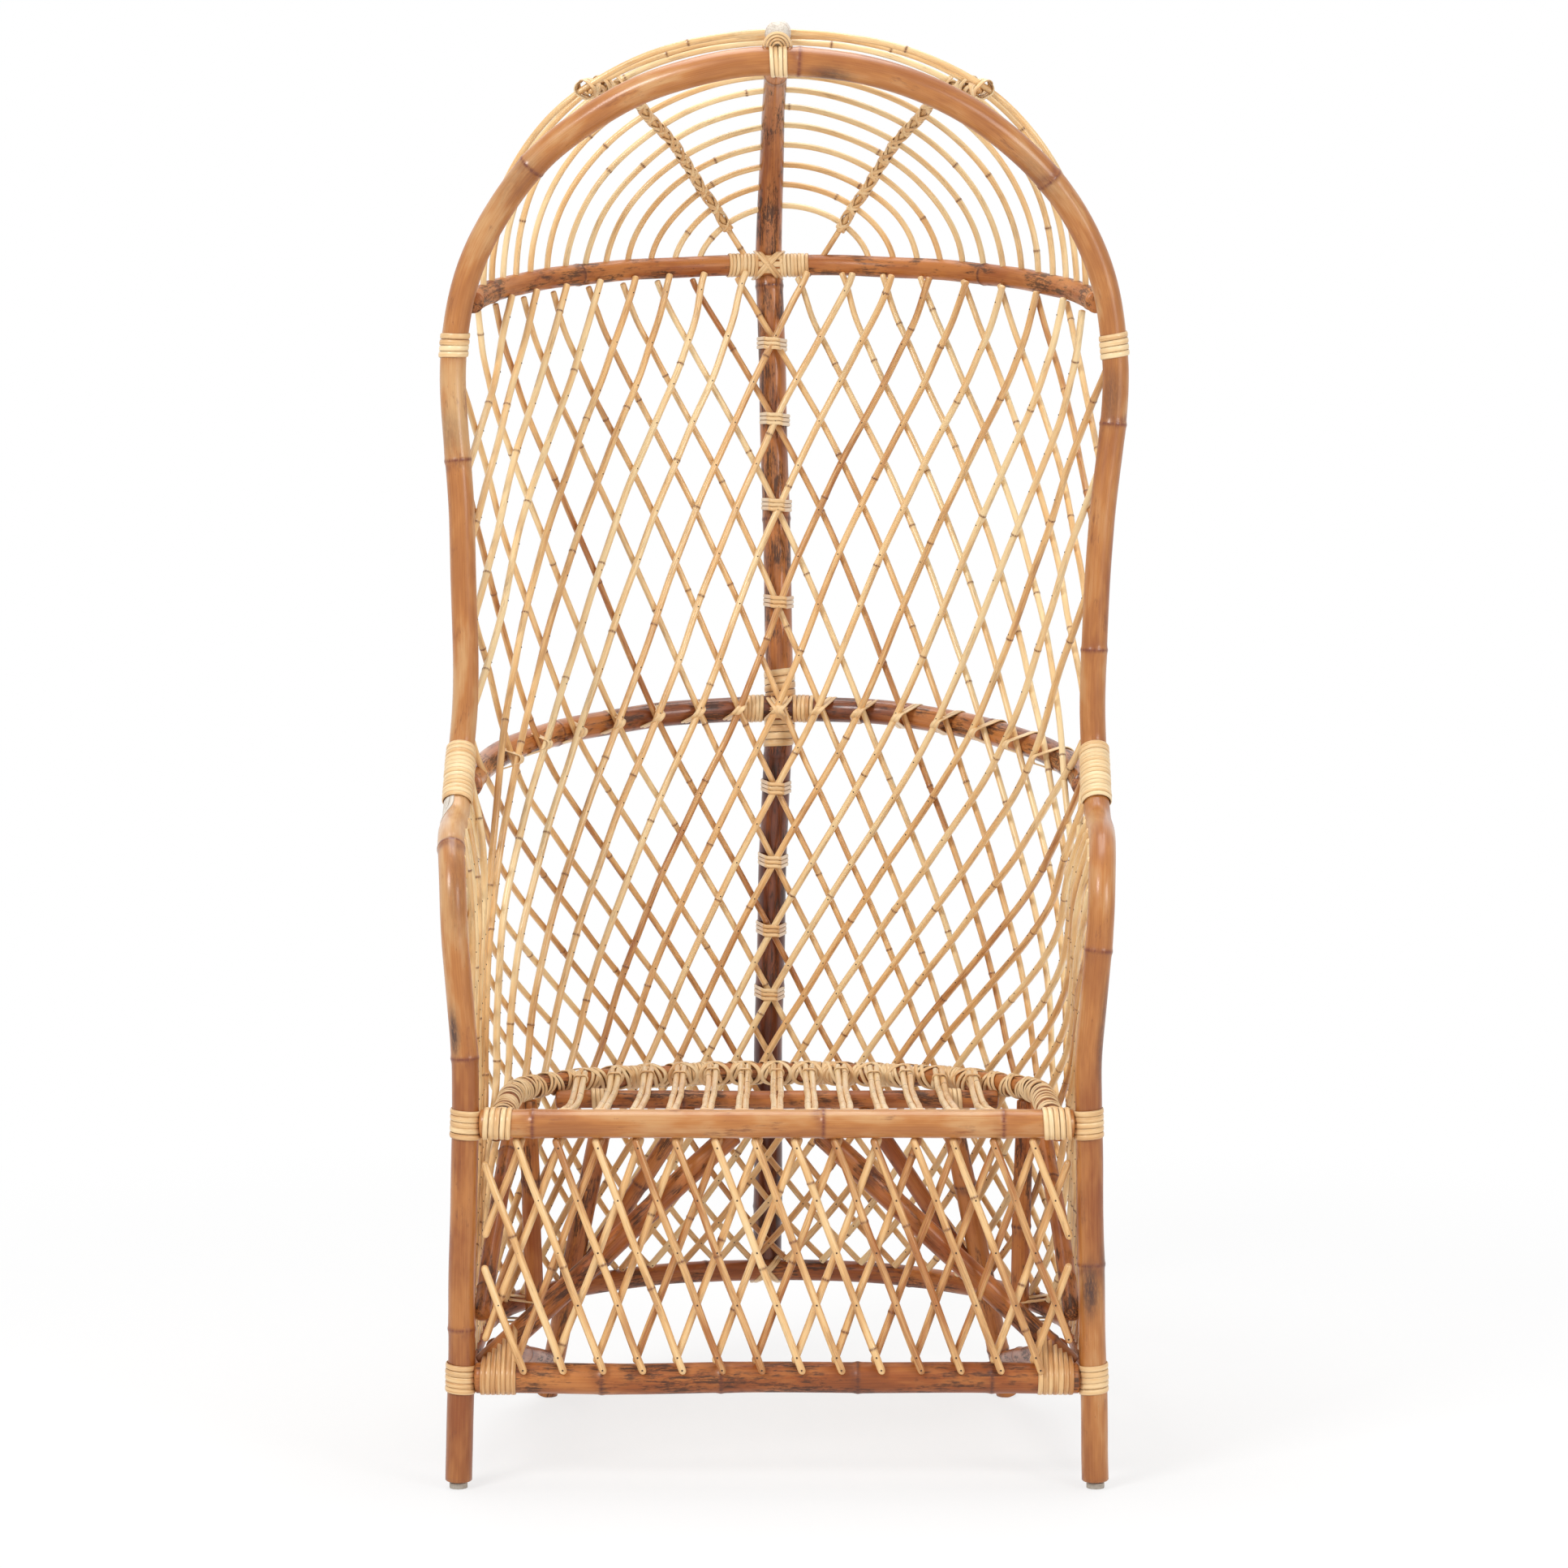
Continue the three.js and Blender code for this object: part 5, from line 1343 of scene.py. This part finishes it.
def soft_light(name, place, target, size, watts):
    lamp = bpy.data.lights.new(name, "AREA")
    lamp.shape = "SQUARE"
    lamp.size = size
    lamp.energy = watts
    lamp_object = add_object(name, lamp)
    lamp_object.location = place
    way = at(*target) - at(*place)
    yaw = math.atan2(way[1], way[0]) - math.pi / 2
    pitch = math.atan2(math.hypot(way[0], way[1]), -way[2])
    lamp_object.rotation_euler = (pitch, 0, yaw)


def seen_rays(graph):
    """1 for the rays that show the white studio itself, 0 for those that only light the chair."""
    rays = graph.new("LightPath").outputs
    clear = graph.math("MAXIMUM", rays["Is Glossy Ray"], rays["Is Transmission Ray"])
    return graph.math("MAXIMUM", clear, rays["Is Camera Ray"])


soft_light("key", (-2.2, -3.0, 3.2), (0, 0, 0.8), size=1.2, watts=84)
soft_light("fill", (2.6, -3.0, 2.0), (0, 0, 0.8), size=1.4, watts=42)
soft_light("top", (0, 0.6, 5.0), (0, 0, 0), size=3.0, watts=125)

WORLD_LIGHT = 0.4
studio = Graph(bpy.data.worlds.new("studio"))
scene.world = studio.owner
glow = studio.span(seen_rays(studio), 0, 1, WORLD_LIGHT, 1.0)
studio.fill(studio.nodes["Background"], {"Color": (1, 1, 1, 1), "Strength": glow})

# Floor: white paper that keeps a faint shadow near the chair and fades into the white background
FLOOR_SHADE = 0.27
FLOOR_FADE = (0.9, 2.2)
FLOOR_HALF = 12
FLOOR_Z = -0.0005
FLOOR_CORNERS = ((-1, -1), (1, -1), (1, 1), (-1, 1))
paper = Graph(bpy.data.materials.new("floor_paper"))
paper.fill(paper.shader, {"Base Color": (0.94, 0.94, 0.94, 1), "Roughness": 0.9, "Specular IOR Level": 0.0})
away = paper.new("VectorMath", paper.new("TexCoord").outputs["Object"], operation="LENGTH")
shade = paper.span(away.outputs["Value"], *FLOOR_FADE, 1 - FLOOR_SHADE, 1.0)
white_share = paper.math("MULTIPLY", shade, seen_rays(paper))
blend = paper.new("MixShader", white_share, paper.shader.outputs[0], paper.new("Emission").outputs[0])
paper.put(paper.nodes["Material Output"].inputs["Surface"], blend.outputs[0])
floor_mesh = bpy.data.meshes.new("floor")
floor_points = [(x * FLOOR_HALF, y * FLOOR_HALF, FLOOR_Z) for x, y in FLOOR_CORNERS]
floor_mesh.from_pydata(floor_points, [], [(0, 1, 2, 3)])
floor_mesh.materials.append(paper.owner)
floor = add_object("floor", floor_mesh)

scene.view_settings.view_transform = "Standard"
